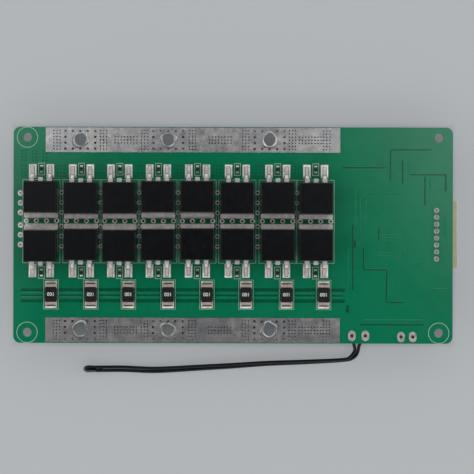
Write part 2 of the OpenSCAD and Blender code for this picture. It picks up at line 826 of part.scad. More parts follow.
module cell_transistor_leads() {
    color(lead_grey) at_channels(channel_x) {
        for (y = [-1, 1]) translate([-sot_w / 2, y * sot_l / 3, 0]) rotate(90)
            gull_lead(sot_lead_w, sot_lead_out, stand_off + sot_h / 2);
        translate([sot_w / 2, 0, 0]) rotate(-90)
            gull_lead(sot_lead_w, sot_lead_out, stand_off + sot_h / 2);
    }
}

// Children at each filter resistor: one for each channel and a column beside the chip
module at_filters() {
    at_channels(channel_filter_x) children();
    under_board() for (i = [0:chip_filters - 1])
        translate([chip_filter_x, chip_y + (i - (chip_filters - 1) / 2) * 2 * filter_l, 0])
            children();
}

module filter_resistors() {
    color(code_black) at_filters() block(filter_w, filter_l - 2 * filter_cap, filter_h);
}

module filter_resistor_ends() {
    color(tin_grey) at_filters() end_blocks(filter_w, filter_l, filter_cap, filter_h);
}

// ---- Nodes ----

circuit_board();
bus_strip(1);  // upper_bus_strip
bus_strip(-1);  // lower_bus_strip
drain_lands();
component_lands();
via_rings();
wire_lands();
for (k = [1:mosfets]) {
    mosfet_body(k);
    mosfet_frame(k);
}
shunt_resistors();
shunt_ends();
gate_resistors();
gate_resistor_ends();
balance_socket();
balance_pins();
balance_joints();
wire_joints();
sensor_wire_a();
sensor_wire_b();
sensor_bead();
monitor_chip();
monitor_chip_leads();
cell_resistors();
cell_resistor_ends();
cell_transistors();
cell_transistor_leads();
filter_resistors();
filter_resistor_ends();
storage_capacitors();
capacitor_bases();
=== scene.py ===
"""Looks of a battery management board: solder mask, tinned bus strips, switching
transistors, current shunts, balance socket and a temperature sensor on two wires.

Sizes are in metres. The board lies with its control side down, +X points at the
balance socket and z = 0 is the surface that it stands on."""

import json
import math
import random

import bmesh
import bpy
from bpy.props import FloatProperty, FloatVectorProperty, IntProperty, PointerProperty
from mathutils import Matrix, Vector, noise


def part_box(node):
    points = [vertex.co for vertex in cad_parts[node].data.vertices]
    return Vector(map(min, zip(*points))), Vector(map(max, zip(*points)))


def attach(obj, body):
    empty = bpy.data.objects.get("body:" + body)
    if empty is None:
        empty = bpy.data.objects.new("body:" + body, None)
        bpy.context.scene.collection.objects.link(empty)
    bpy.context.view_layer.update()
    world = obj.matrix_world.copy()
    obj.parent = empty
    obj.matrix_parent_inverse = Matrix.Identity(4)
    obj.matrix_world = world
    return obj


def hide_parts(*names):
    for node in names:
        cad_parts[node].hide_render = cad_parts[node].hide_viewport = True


bl_info = {
    "name": "Battery Management Board",
    "version": (1, 0, 0),
    "blender": (4, 5, 0),
    "location": "3D View > Sidebar > Battery board",
    "description": "Dresses a packed battery management board and sets its studio",
    "category": "Object",
}

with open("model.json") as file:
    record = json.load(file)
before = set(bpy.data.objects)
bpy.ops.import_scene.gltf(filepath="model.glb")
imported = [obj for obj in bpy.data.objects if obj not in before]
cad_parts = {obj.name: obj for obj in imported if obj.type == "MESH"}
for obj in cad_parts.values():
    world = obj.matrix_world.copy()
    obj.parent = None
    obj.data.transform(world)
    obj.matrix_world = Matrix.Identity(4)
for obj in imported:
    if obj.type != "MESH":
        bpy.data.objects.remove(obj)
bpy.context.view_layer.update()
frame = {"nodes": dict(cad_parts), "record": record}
BOARD_LOW, BOARD_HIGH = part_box("circuit_board")
MIDDLE = (BOARD_LOW + BOARD_HIGH) / 2
TOP = BOARD_HIGH.z
UNDER = BOARD_LOW.z
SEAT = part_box("upper_bus_strip")[1].z
MM = 0.001
ROOT = "root"
INK_THICK = 0.02 * MM
ROW_SPLIT = MIDDLE.y + 4 * MM  # Between the two rows of transistors
FLAT = 0.9998  # Largest part of the normal of a face that is square to an axis
TRANSISTORS = sorted(n for n in frame["nodes"] if n.startswith("mosfet_body_"))
TRANSISTOR_FRAMES = sorted(n for n in frame["nodes"] if n.startswith("mosfet_frame_"))


# ---- General helpers ----


def srgb(red, green, blue):
    """Linear colour of 8-bit display values, with its alpha."""
    line = [c / 255 for c in (red, green, blue)]
    return [c / 12.92 if c <= 0.04045 else ((c + 0.055) / 1.055) ** 2.4 for c in line] + [1.0]


def place(x, y, z=0.0):
    """Point of the scene: x and y in millimetres from the board's middle, z in metres."""
    return Vector((MIDDLE.x + x * MM, MIDDLE.y + y * MM, z))


def show(obj):
    bpy.context.scene.collection.objects.link(obj)
    return obj


def piece(name, mesh, material, replaces=(), sharp=35):
    """A finished piece: its mesh, material and shading, riding on the board."""
    obj = show(bpy.data.objects.new(name, mesh))
    if isinstance(mesh, bpy.types.Mesh):
        if material and not mesh.materials:
            mesh.materials.append(material)
        if sharp:
            mesh.shade_smooth()
            mesh.set_sharp_from_angle(angle=math.radians(sharp))
    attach(obj, ROOT)
    if replaces:
        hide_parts(*replaces)
    return obj


def finish_node(name, material):
    """Gives a CAD node its material."""
    obj = frame["nodes"][name]
    obj.data.materials.clear()
    obj.data.materials.append(material)


def to_mesh(bm, name):
    mesh = bpy.data.meshes.new(name)
    bm.to_mesh(mesh)
    bm.free()
    return mesh


def solid_copy(nodes):
    """CAD nodes as one bmesh, with doubles merged and flat faces joined."""
    bm = bmesh.new()
    for name in nodes:
        bm.from_mesh(frame["nodes"][name].data)
    bmesh.ops.remove_doubles(bm, verts=bm.verts, dist=1e-7)
    bmesh.ops.dissolve_limit(
        bm, angle_limit=math.radians(1), verts=bm.verts, edges=bm.edges
    )
    return bm


def islands(*nodes):
    """Boxes (low, high) of the separate solids of some CAD nodes, from left to right."""
    boxes = []
    for name in nodes:
        bm = bmesh.new()
        bm.from_mesh(frame["nodes"][name].data)
        bmesh.ops.remove_doubles(bm, verts=bm.verts, dist=1e-7)
        left = set(bm.verts)
        while left:
            group, edge = set(), [left.pop()]
            while edge:
                vert = edge.pop()
                group.add(vert)
                for link in vert.link_edges:
                    other = link.other_vert(vert)
                    if other in left:
                        left.discard(other)
                        edge.append(other)
            points = [v.co for v in group]
            low = Vector([min(p[i] for p in points) for i in range(3)])
            high = Vector([max(p[i] for p in points) for i in range(3)])
            boxes.append((low, high))
        bm.free()
    return sorted(boxes, key=lambda b: (round(b[0].x, 5), round(b[0].y, 5)))


def dressed(name, nodes, material, bevel, least, segments=2):
    """Copy of CAD nodes with the outer edges longer than least rounded."""
    bm = solid_copy(nodes)
    edges = [
        e
        for e in bm.edges
        if e.is_manifold
        and e.is_convex
        and e.calc_length() > least
        and e.calc_face_angle(0) > math.radians(25)
    ]
    bmesh.ops.bevel(
        bm, geom=edges, offset=bevel, offset_type="OFFSET", segments=segments,
        affect="EDGES", profile=0.5, clamp_overlap=True,
    )
    for face in bm.faces:
        face.smooth = max(abs(c) for c in face.normal) < FLAT and (
            face.calc_area() < (2.5 * bevel) ** 2
            or len(face.verts) == 4 and min(e.calc_length() for e in face.edges) < bevel
        )
    return piece(name, to_mesh(bm, name), material, nodes, sharp=None)


def dress_all(*rows):
    """Dresses CAD nodes: name, nodes, finish, bevel and least edge in millimetres, and a slot that
    is not used.
    """
    for name, nodes, finish, bevel, least, slot in rows:
        dressed(name, nodes, FINISH[finish], bevel * MM, least * MM)


# ---- Node trees ----


class Nodes:
    """Adds nodes to a tree, and links or sets their inputs."""

    def __init__(self, tree):
        self.tree = tree

    def add(self, kind, inputs=None, out=0, **settings):
        node = self.tree.nodes.new(kind)
        for key, value in settings.items():
            setattr(node, key, value)
        for key, value in (inputs or {}).items():
            self.put(node, key, value)
        return node.outputs[out] if out is not None else node

    def put(self, node, key, value):
        if isinstance(value, bpy.types.NodeSocket):
            self.tree.links.new(value, node.inputs[key])
        else:
            node.inputs[key].default_value = value

    def math(self, operation, *values):
        return self.add(
            "ShaderNodeMath", dict(enumerate(values)), operation=operation
        )

    def span(self, value, low, high, to_low=0.0, to_high=1.0, **settings):
        """The value's range low to high, spread over another range and held there."""
        return self.add(
            "ShaderNodeMapRange",
            {
                "Value": value, "From Min": low, "From Max": high,
                "To Min": to_low, "To Max": to_high,
            },
            **settings,
        )


class Growth(Nodes):
    """Geometry Nodes tree with named inputs, made from a host mesh."""

    def __init__(self, name, **sizes):
        group = bpy.data.node_groups.new(name, "GeometryNodeTree")
        super().__init__(group)
        face = group.interface
        face.new_socket("Geometry", in_out="INPUT", socket_type="NodeSocketGeometry")
        face.new_socket("Geometry", in_out="OUTPUT", socket_type="NodeSocketGeometry")
        for label, value in sizes.items():
            kind = "NodeSocketFloat"
            if isinstance(value, int):
                kind = "NodeSocketInt"
            socket = face.new_socket(
                label.replace("_", " ").capitalize(), in_out="INPUT", socket_type=kind
            )
            socket.default_value = value
        face.new_socket("Material", in_out="INPUT", socket_type="NodeSocketMaterial")
        self.input = group.nodes.new("NodeGroupInput").outputs
        self.output = group.nodes.new("NodeGroupOutput").inputs

    def join(self, first, second):
        both = self.add("GeometryNodeJoinGeometry", {"Geometry": first})
        self.tree.links.new(second, both.node.inputs["Geometry"])
        return both

    def at_points(self, item, **inputs):
        """A copy of the item at each host point."""
        return self.add(
            "GeometryNodeInstanceOnPoints",
            {"Points": self.input["Geometry"], "Instance": item, **inputs},
        )

    def circle(self, sides, radius=1.0):
        return self.add(
            "GeometryNodeCurvePrimitiveCircle", {"Resolution": sides, "Radius": radius}
        )

    def oval(self, sides, half_width, half_height):
        """Flattened circle, to be swept along a path."""
        size = self.add("ShaderNodeCombineXYZ", {"X": half_width, "Y": half_height, "Z": 1.0})
        return self.add("GeometryNodeTransform", {"Geometry": self.circle(sides), "Scale": size})

    def end(self, geometry):
        """Realises the copies, sets the material and joins the tree's output."""
        real = self.add("GeometryNodeRealizeInstances", {"Geometry": geometry})
        done = self.add(
            "GeometryNodeSetMaterial", {"Geometry": real, "Material": self.input["Material"]}
        )
        self.tree.links.new(done, self.output[0])
        return self

    def grow(self, name, host, material, slot=None, replaces=(), sharp=35, **sizes):
        """Evaluates the tree on the host mesh and returns the plain finished piece."""
        obj = show(bpy.data.objects.new(name + "_host", host))
        modifier = obj.modifiers.new("growth", "NODES")
        modifier.node_group = self.tree
        values = {k.replace("_", " ").capitalize(): v for k, v in sizes.items()}
        values["Material"] = material
        for item in self.tree.interface.items_tree:
            if item.item_type == "SOCKET" and item.in_out == "INPUT" and item.name in values:
                modifier[item.identifier] = values[item.name]
        graph = bpy.context.evaluated_depsgraph_get()
        mesh = bpy.data.meshes.new_from_object(obj.evaluated_get(graph), depsgraph=graph)
        mesh.name = name
        obj.modifiers.remove(modifier)
        bpy.data.objects.remove(obj)
        if not mesh.polygons:
            raise RuntimeError(name + ": the tree made nothing")
        return piece(name, mesh, material, replaces, sharp)


def points_mesh(points, **attributes):
    """Host mesh of loose points, with a vector or a number kept for each point."""
    mesh = bpy.data.meshes.new("points")
    mesh.from_pydata([tuple(p) for p in points], [], [])
    for name, values in attributes.items():
        if hasattr(values[0], "__len__"):
            layer = mesh.attributes.new(name, "FLOAT_VECTOR", "POINT")
            layer.data.foreach_set("vector", [c for v in values for c in v])
        else:
            layer = mesh.attributes.new(name, "FLOAT", "POINT")
            layer.data.foreach_set("value", values)
    return mesh


def even_points(points, *size):
    """Host mesh of points that all have one size, in millimetres."""
    return points_mesh(points, size=[tuple(c * MM for c in size)] * len(points))


def frames_host(frames):
    """Host mesh of frames: x, y, both half sizes, and how far the line goes out and in."""
    return points_mesh(
        [(x, y, 0) for x, y, *_ in frames],
        outer=[(u + out, v + out, 1) for _, _, u, v, out, _ in frames],
        inner=[(u - into, v - into, 1) for _, _, u, v, _, into in frames],
    )


def lines_mesh(lines, z):
    """Host mesh of open lines: each is a list of (x, y) in millimetres on the board."""
    verts, edges = [], []
    for line in lines:
        first = len(verts)
        verts += [tuple(place(x, y, z)) for x, y in line]
        edges += [(i, i + 1) for i in range(first, len(verts) - 1)]
    mesh = bpy.data.meshes.new("lines")
    mesh.from_pydata(verts, edges, [])
    return mesh


def named(growth, name, kind="FLOAT_VECTOR"):
    """The attribute of that name, as a field."""
    return growth.add(
        "GeometryNodeInputNamedAttribute", {"Name": name}, data_type=kind
    )


def thickened(growth, flat, thickness):
    """Closed plate from a flat face set: extruded upwards, with its underside added."""
    up = growth.add(
        "ShaderNodeCombineXYZ", {"X": 0.0, "Y": 0.0, "Z": thickness}
    )
    raised = growth.add(
        "GeometryNodeExtrudeMesh",
        {"Mesh": flat, "Offset": up, "Offset Scale": 1.0, "Individual": False},
        mode="FACES",
    )
    under = growth.add("GeometryNodeFlipFaces", {"Mesh": flat})
    both = growth.join(raised, under)
    return growth.add("GeometryNodeMergeByDistance", {"Geometry": both, "Distance": 1e-7})


def end_as_plate(growth, curve):
    """Ends a tree with the curve filled, thickened and lifted by the tree's own inputs."""
    flat = growth.add("GeometryNodeFillCurve", {"Curve": curve})
    solid = thickened(growth, flat, growth.input["Thickness"])
    lift = growth.add("ShaderNodeCombineXYZ", {"Z": growth.input["Base"]})
    return growth.end(
        growth.add("GeometryNodeTransform", {"Geometry": solid, "Translation": lift})
    )


def perforated_plate():
    """Tree: rectangle with a round hole at each host point, as large as its "hole"."""
    g = Growth(
        "perforated_plate", length=0.08, width=0.007, thickness=0.0001,
        middle_x=0.0, middle_y=0.0, base=0.0, sides=12,
    )
    disc = g.at_points(g.circle(g.input["Sides"]), Scale=named(g, "hole"))
    holes = g.add("GeometryNodeRealizeInstances", {"Geometry": disc})
    plate = g.add(
        "GeometryNodeCurvePrimitiveQuadrilateral",
        {"Width": g.input["Length"], "Height": g.input["Width"]},
    )
    move = g.add("ShaderNodeCombineXYZ", {"X": g.input["Middle x"], "Y": g.input["Middle y"]})
    outline = g.add("GeometryNodeTransform", {"Geometry": plate, "Translation": move})
    return end_as_plate(g, g.join(outline, holes))


def printed_frames(name, rounded):
    """Tree: flat frame at each host point, from its "outer" to its "inner" half size."""
    g = Growth(name, thickness=0.00002, base=0.0, sides=48)
    if rounded:
        unit = g.circle(g.input["Sides"])
    else:
        unit = g.add("GeometryNodeCurvePrimitiveQuadrilateral", {"Width": 2.0, "Height": 2.0})
    rims = [g.at_points(unit, Scale=named(g, which)) for which in ("outer", "inner")]
    return end_as_plate(g, g.add("GeometryNodeRealizeInstances", {"Geometry": g.join(*rims)}))


def solder_mounds():
    """Tree: pillow of solder at each host point, with the full sizes of its "size"."""
    g = Growth("solder_mounds", steps=9)
    steps = g.input["Steps"]
    grid = g.add(
        "GeometryNodeMeshGrid",
        {"Size X": 2.0, "Size Y": 2.0, "Vertices X": steps, "Vertices Y": steps},
    )
    at = g.add("ShaderNodeSeparateXYZ", {0: g.add("GeometryNodeInputPosition")}, out=None)
    rise = [
        g.math("SUBTRACT", 1.0, g.math("POWER", g.math("ABSOLUTE", at.outputs[i]), 4.0))
        for i in (0, 1)
    ]
    height = g.math("POWER", g.math("MAXIMUM", g.math("MULTIPLY", *rise), 0.0), 0.6)
    shift = g.add("ShaderNodeCombineXYZ", {"Z": height})
    top = g.add("GeometryNodeSetPosition", {"Geometry": grid, "Offset": shift})
    under = g.add("GeometryNodeFlipFaces", {"Mesh": grid})
    both = g.join(top, under)
    pillow = g.add("GeometryNodeMergeByDistance", {"Geometry": both, "Distance": 1e-5})
    half = g.add(
        "ShaderNodeVectorMath", {0: named(g, "size"), 1: (0.5, 0.5, 1.0)}, operation="MULTIPLY"
    )
    return g.end(g.at_points(pillow, Scale=half))


def solder_drops():
    """Tree: round drop at each host point, as large as its "size"; half is sunk in."""
    g = Growth("solder_drops", segments=20, rings=10)
    ball = g.add(
        "GeometryNodeMeshUVSphere",
        {"Segments": g.input["Segments"], "Rings": g.input["Rings"], "Radius": 1.0},
    )
    return g.end(g.at_points(ball, Scale=named(g, "size")))


def plated_rings():
    """Tree: rounded ring at each host point, from its hole to its rim."""
    g = Growth("plated_rings", outer=0.0007, hole=0.00035, thickness=0.00012, sides=24)
    mean = g.math("MULTIPLY", g.math("ADD", g.input["Outer"], g.input["Hole"]), 0.5)
    half = g.math("MULTIPLY", g.math("SUBTRACT", g.input["Outer"], g.input["Hole"]), 0.5)
    path = g.circle(g.input["Sides"], mean)
    rise = g.add("GeometryNodeSetCurveNormal", {"Curve": path}, mode="Z_UP")
    section = g.oval(8, half, g.math("MULTIPLY", g.input["Thickness"], 0.5))
    ring = g.add("GeometryNodeCurveToMesh", {"Curve": rise, "Profile Curve": section})
    return g.end(g.at_points(ring))


def covered_tracks():
    """Tree: low track with sloping sides along each host line, rounded at its bends."""
    g = Growth("covered_tracks", width=0.0005, height=0.00003, bend=0.0003)
    line = g.add("GeometryNodeMeshToCurve", {"Mesh": g.input["Geometry"]})
    bent = g.add(
        "GeometryNodeFilletCurve",
        {"Curve": line, "Count": 3, "Radius": g.input["Bend"], "Limit Radius": True},
        mode="POLY",
    )
    rise = g.add("GeometryNodeSetCurveNormal", {"Curve": bent}, mode="Z_UP")
    section = g.oval(6, g.math("MULTIPLY", g.input["Width"], 0.5), g.input["Height"])
    return g.end(
        g.add(
            "GeometryNodeCurveToMesh",
            {"Curve": rise, "Profile Curve": section, "Fill Caps": True},
        )
    )


# ---- Materials ----


class Finish(Nodes):
    """Procedural material on Object coordinates, around one Principled shader."""

    def __init__(self, name, metallic=0.0, **constants):
        self.material = bpy.data.materials.new(name)
        self.material.use_nodes = True
        super().__init__(self.material.node_tree)
        self.shader = self.tree.nodes["Principled BSDF"]
        self.shader.inputs["Metallic"].default_value = metallic
        for key, value in constants.items():
            label = key.replace("_", " ").title().replace("Ior", "IOR")
            self.shader.inputs[label].default_value = value
        self.at = self.add("ShaderNodeTexCoord", out="Object")

    def noise(self, scale, detail=3.0, rough=0.55, stretch=(1, 1, 1), seed=0.0):
        """Noise from 0 to 1; scale is in features per metre."""
        at = self.add(
            "ShaderNodeMapping", {"Vector": self.at, "Scale": stretch, "Location": (seed, 0, 0)}
        )
        return self.add(
            "ShaderNodeTexNoise",
            {"Vector": at, "Scale": scale, "Detail": detail, "Roughness": rough},
        )

    def mix(self, share, first, second):
        node = self.add("ShaderNodeMix", out=None, data_type="RGBA")
        self.put(node, 0, share)
        self.put(node, 6, first)
        self.put(node, 7, second)
        return node.outputs[2]

    def past_board(self, margin=0.0):
        """How far a point is outside the board's sides, which are drawn in by the margin."""
        at = self.add("ShaderNodeSeparateXYZ", {0: self.at}, out=None)
        past = []
        for i in (0, 1):
            off = self.math("ABSOLUTE", self.math("SUBTRACT", at.outputs[i], MIDDLE[i]))
            reach = (BOARD_HIGH[i] - BOARD_LOW[i]) / 2 - margin
            past.append(self.math("SUBTRACT", off, reach))
        return self.math("MAXIMUM", *past)

    def colour(self, value):
        self.put(self.shader, "Base Color", value)
        return self

    def rough(self, value):
        self.put(self.shader, "Roughness", value)
        return self

    def bump(self, height, distance, strength=1.0):
        normal = self.add(
            "ShaderNodeBump", {"Height": height, "Distance": distance, "Strength": strength}
        )
        self.put(self.shader, "Normal", normal)
        return self


def speckled(name, pale, dark, scale, rough, bump=0.0, grain=6000.0, metallic=0.0, **constants):
    """Plain finish: two close colours by noise, changing roughness and a fine grain."""
    f = Finish(name, metallic, **constants)
    patches = f.noise(scale)
    f.colour(f.mix(f.span(patches, 0.35, 0.65), dark, pale))
    f.rough(f.span(f.noise(scale * 2.3, seed=3.0), 0.3, 0.7, *rough))
    if bump:
        f.bump(f.noise(grain, 2.0), bump)
    return f.material


LAMINATE_BAND = 2.2 * MM  # Along the board's sides, where a cut shows laminate


def mask_finish():
    """Green solder mask over copper; cut sides show pale laminate, and the walls of holes are
    painted dark as shade.
    """
    f = Finish("solder_mask", IOR=1.5)
    look = bpy.context.scene.board_finish
    green = list(look.mask) + [1.0]
    deep = [green[0] * 0.8, green[1] * 0.9, green[2] * 0.9, 1.0]
    pale = [green[0] * 1.2 + 0.001, green[1] * 1.06, green[2] * 1.08, 1.0]
    wide = f.span(f.noise(60, 2.0), 0.4, 0.6)
    fine = f.span(f.noise(420, 4.0, seed=5.0), 0.25, 0.75)
    cover = f.mix(fine, f.mix(wide, deep, green), f.mix(wide, green, pale))
    height = f.add("ShaderNodeSeparateXYZ", {0: f.at}, out="Z")
    middle = (TOP + UNDER) / 2
    off = f.math("ABSOLUTE", f.math("SUBTRACT", height, middle))
    side = f.math("LESS_THAN", off, (TOP - UNDER) / 2 - 0.03 * MM)
    weave = f.add(
        "ShaderNodeTexWave",
        {"Vector": f.at, "Scale": 9000.0, "Distortion": 3.0, "Detail": 2.0},
        out="Fac", bands_direction="Z",
    )
    laminate = f.mix(weave, srgb(96, 112, 66), srgb(138, 146, 96))
    rim = f.math("GREATER_THAN", f.past_board(LAMINATE_BAND), 0.0)
    # Painted shade: walls of holes away from the board's sides get a dark colour.
    cut = f.mix(rim, srgb(34, 44, 36), laminate)
    f.colour(f.mix(side, cover, cut))
    f.rough(f.span(f.noise(250, 3.0, seed=9.0), 0.3, 0.7, 0.07, 0.13))
    return f.bump(f.noise(900, 3.0), 0.004 * MM, 0.6).material


def strip_finish():
    """Hot-air levelled tin: mottled, with dull patches, flux stains and soft waves."""
    f = Finish("levelled_tin", 0.85)
    broad = f.span(f.noise(130, 4.0, 0.65), 0.38, 0.62)
    small = f.span(f.noise(700, 4.0, 0.7, seed=2.0), 0.35, 0.65)
    grain = f.span(f.noise(2600, 2.0, 0.6, seed=7.0), 0.3, 0.7)
    base = f.mix(broad, srgb(184, 186, 191), srgb(224, 222, 218))
    base = f.mix(f.math("MULTIPLY", small, 0.5), base, srgb(158, 161, 168))
    base = f.mix(f.math("MULTIPLY", grain, 0.25), base, srgb(234, 233, 229))
    stain = f.span(f.noise(90, 3.0, 0.6, seed=11.0), 0.62, 0.75, 0.0, 0.35)
    f.colour(f.mix(stain, base, srgb(120, 100, 92)))
    f.rough(f.span(f.noise(420, 4.0, 0.65, seed=4.0), 0.3, 0.7, 0.14, 0.26))
    return f.bump(f.noise(330, 3.0, 0.5, seed=1.0), 0.02 * MM, 0.6).material


def pit_shade_and_solder_finish():
    """Bottoms of the via holes: painted shade with reddish-brown patches towards the board's
    middle, and filled with solder towards its edges.
    """
    f = Finish("via_pits", 0.2)
    at = f.add("ShaderNodeSeparateXYZ", {0: f.at}, out="Y")
    off = f.math("ABSOLUTE", f.math("SUBTRACT", at, MIDDLE.y))
    inner = abs(TERMINALS[0][1] - MIDDLE.y)
    edge = f.span(off, inner + 0.8 * MM, inner + 2.2 * MM)
    fill = f.span(f.noise(420, 1.0, seed=6.0), 0.5, 0.6)
    fill = f.math("MAXIMUM", f.math("MULTIPLY", fill, 0.6), edge)
    red = f.span(f.noise(160, 1.0, seed=14.0), 0.45, 0.58)
    # Painted shade: the near-black colour stands for the shade deep in the via holes.
    dark = f.mix(red, srgb(26, 28, 30), srgb(66, 32, 32))
    f.colour(f.mix(fill, dark, srgb(96, 98, 100)))
    f.rough(f.span(f.noise(900, 2.0), 0.3, 0.7, 0.45, 0.7))
    return f.bump(f.noise(3000, 2.0), 0.02 * MM).material


def insulation_finish():
    """Black soft vinyl with faint scuffs and a slow change of gloss."""
    f = Finish("black_vinyl", Specular_IOR_Level=0.22)
    scuffs = f.span(f.noise(900, 3.0, 0.6, (0.3, 3.0, 3.0)), 0.45, 0.75)
    f.colour(f.mix(scuffs, srgb(14, 15, 19), srgb(22, 23, 28)))
    f.rough(f.span(f.noise(150, 2.0, seed=5.0), 0.3, 0.7, 0.42, 0.58))
    return f.bump(f.noise(4000, 2.0), 0.008 * MM, 0.5).material


def make_finishes():
    """All the finishes by name."""
    ink = list(bpy.context.scene.board_finish.ink) + [1.0]
    dull_ink = [c * 0.82 for c in ink[:3]] + [1.0]
    return {
        "mask": mask_finish(),
        "strip": strip_finish(),
        "pit_shade_and_solder": pit_shade_and_solder_finish(),
        "vinyl": insulation_finish(),
        "land": speckled(
            "tinned_land", srgb(222, 222, 214), srgb(180, 182, 178), 700, (0.35, 0.55),
            0.02 * MM, 900, 0.2,
        ),
        "solder": speckled(
            "bright_solder", srgb(188, 188, 184), srgb(150, 152, 154), 1100, (0.25, 0.42),
            0.02 * MM, 1500, 0.8,
        ),
        "dull": speckled(
            "dull_solder", srgb(146, 152, 148), srgb(116, 122, 120), 1300, (0.35, 0.5),
            0.015 * MM, 1800, 0.4,
        ),
        "lead": speckled(
            "dull_tin_lead", srgb(214, 208, 204), srgb(184, 178, 176), 900, (0.34, 0.5),
            0.01 * MM, 3500, 0.2,
        ),
        "mould": speckled(
            "mould_compound", srgb(9, 10, 12), srgb(6, 7, 9), 350, (0.18, 0.26),
            0.003 * MM, 9000, Specular_IOR_Level=0.25,
        ),
        "glaze": speckled(
            "resistor_glaze", srgb(17, 16, 18), srgb(9, 9, 11), 1500, (0.25, 0.4), 0.008 * MM, 3000
        ),
        "cap": speckled(
            "resistor_end", srgb(190, 176, 164), srgb(158, 146, 134), 1300, (0.38, 0.5),
            0.015 * MM, 1800, 0.4,
        ),
        "flux": speckled(
            "flux_residue", srgb(70, 50, 42), srgb(46, 34, 28), 2200, (0.3, 0.45), 0.01 * MM, 2500
        ),
        "red_flux": speckled(
            "red_flux", srgb(92, 44, 46), srgb(60, 26, 28), 1800, (0.25, 0.4), 0.02 * MM, 1500
        ),
        "dull_land": speckled(
            "dull_tinned_land", srgb(186, 184, 178), srgb(146, 146, 142), 900, (0.35, 0.5),
            0.02 * MM, 900, 0.3,
        ),
        "ink": speckled("board_ink", ink, dull_ink, 2500, (0.5, 0.65), 0.004 * MM, 8000),
        "code": speckled(
            "code_ink", srgb(214, 212, 206), srgb(180, 178, 172), 3000, (0.5, 0.65),
            0.003 * MM, 8000,
        ),
        "nylon": speckled(
            "cream_nylon", srgb(186, 181, 157), srgb(174, 168, 142), 220, (0.42, 0.55),
            0.01 * MM, 4000, Subsurface_Weight=0.05,
        ),
        "epoxy": speckled(
            "sensor_epoxy", srgb(15, 15, 18), srgb(9, 9, 12), 500, (0.12, 0.2),
            0.02 * MM, 700, Specular_IOR_Level=0.4,
        ),
        "can": speckled(
            "drawn_aluminium", srgb(206, 208, 212), srgb(188, 190, 194), 260, (0.28, 0.4),
            0.006 * MM, 5000, 0.95,
        ),
        "gap": speckled(
            "mask_over_gap", srgb(4, 83, 58), srgb(3, 73, 51), 700, (0.07, 0.13), 0.004 * MM, 900
        ),
        # Painted shade for the holes of the plated rings
        "plug": speckled(
            "dark_hole", srgb(9, 11, 11), srgb(5, 6, 6), 900, (0.5, 0.65), Specular_IOR_Level=0.1
        ),
        # Painted shade round the leads' feet and at their heels
        "foot_shade": speckled(
            "dark_seam", srgb(84, 80, 76), srgb(58, 54, 52), 1500, (0.35, 0.5), 0.01 * MM, 2500
        ),
        "track": speckled(
            "mask_over_track", srgb(20, 112, 80), srgb(12, 104, 73), 700, (0.07, 0.13),
            0.004 * MM, 900,
        ),
    }


# ---- Settings ----


class BoardFinish(bpy.types.PropertyGroup):
    mask: FloatVectorProperty(
        name="Solder mask", description="Colour of the green solder mask",
        subtype="COLOR", size=3, min=0, max=1, default=srgb(7, 107, 74)[:3],
    )
    ink: FloatVectorProperty(
        name="Ink", description="Colour of the printed lines",
        subtype="COLOR", size=3, min=0, max=1, default=srgb(158, 188, 170)[:3],
    )
    line: FloatProperty(
        name="Line width", description="Width of the printed lines",
        default=0.13 * MM, min=0.05 * MM, max=0.4 * MM, unit="LENGTH", precision=5,
    )


class StripFinish(bpy.types.PropertyGroup):
    via: FloatProperty(
        name="Via radius", description="Radius of the small via holes in the bus strips",
        default=0.21 * MM, min=0.1 * MM, max=0.4 * MM, unit="LENGTH", precision=5,
    )
    pitch: FloatProperty(
        name="Via pitch", description="Distance between the small via holes",
        default=0.9 * MM, min=0.6 * MM, max=2 * MM, unit="LENGTH", precision=5,
    )
    ring_via: FloatProperty(
        name="Terminal via radius", description="Radius of the via holes round a terminal hole",
        default=0.36 * MM, min=0.2 * MM, max=0.6 * MM, unit="LENGTH", precision=5,
    )


class JointFinish(bpy.types.PropertyGroup):
    lead: FloatProperty(
        name="Lead solder", description="Height of the solder round a transistor's lead",
        default=0.32 * MM, min=0.05 * MM, max=0.6 * MM, unit="LENGTH", precision=5,
    )
    end: FloatProperty(
        name="Resistor solder", description="Height of the solder at a resistor's end",
        default=0.26 * MM, min=0.05 * MM, max=0.5 * MM, unit="LENGTH", precision=5,
    )
    seed: IntProperty(
        name="Seed", description="Changes how the solder differs from joint to joint", default=7
    )


class SensorFinish(bpy.types.PropertyGroup):
    wire: FloatProperty(
        name="Wire diameter", description="Diameter of each sensor wire",
        default=0.95 * MM, min=0.5 * MM, max=2 * MM, unit="LENGTH", precision=5,
    )
    steps: IntProperty(
        name="Steps", description="Points between two neighbouring points of the route",
        default=6, min=2, max=12,
    )


class StageFinish(bpy.types.PropertyGroup):
    floor: FloatVectorProperty(
        name="Floor", description="Colour of the floor",
        subtype="COLOR", size=3, min=0, max=1, default=srgb(177, 181, 184)[:3],
    )
    height: FloatProperty(
        name="Camera height", description="Height of the camera over the floor",
        default=0.484, min=0.2, max=3, unit="LENGTH",
    )
    width: FloatProperty(
        name="Picture width", description="Width seen at the board's upper face",
        default=0.137, min=0.05, max=1, unit="LENGTH",
    )
    aside: FloatVectorProperty(
        name="Camera place", description="Place of the camera over the floor",
        subtype="TRANSLATION", size=2, default=(0.38 * MM, -0.52 * MM),
    )
    turn: FloatProperty(
        name="Camera turn", description="Turn of the camera about its own axis",
        default=math.radians(0.14), subtype="ANGLE",
    )
    light: FloatProperty(
        name="Light", description="Strength of the studio's light", default=1.0, min=0.1, max=3
    )


# ---- Sensor on its two wires ----

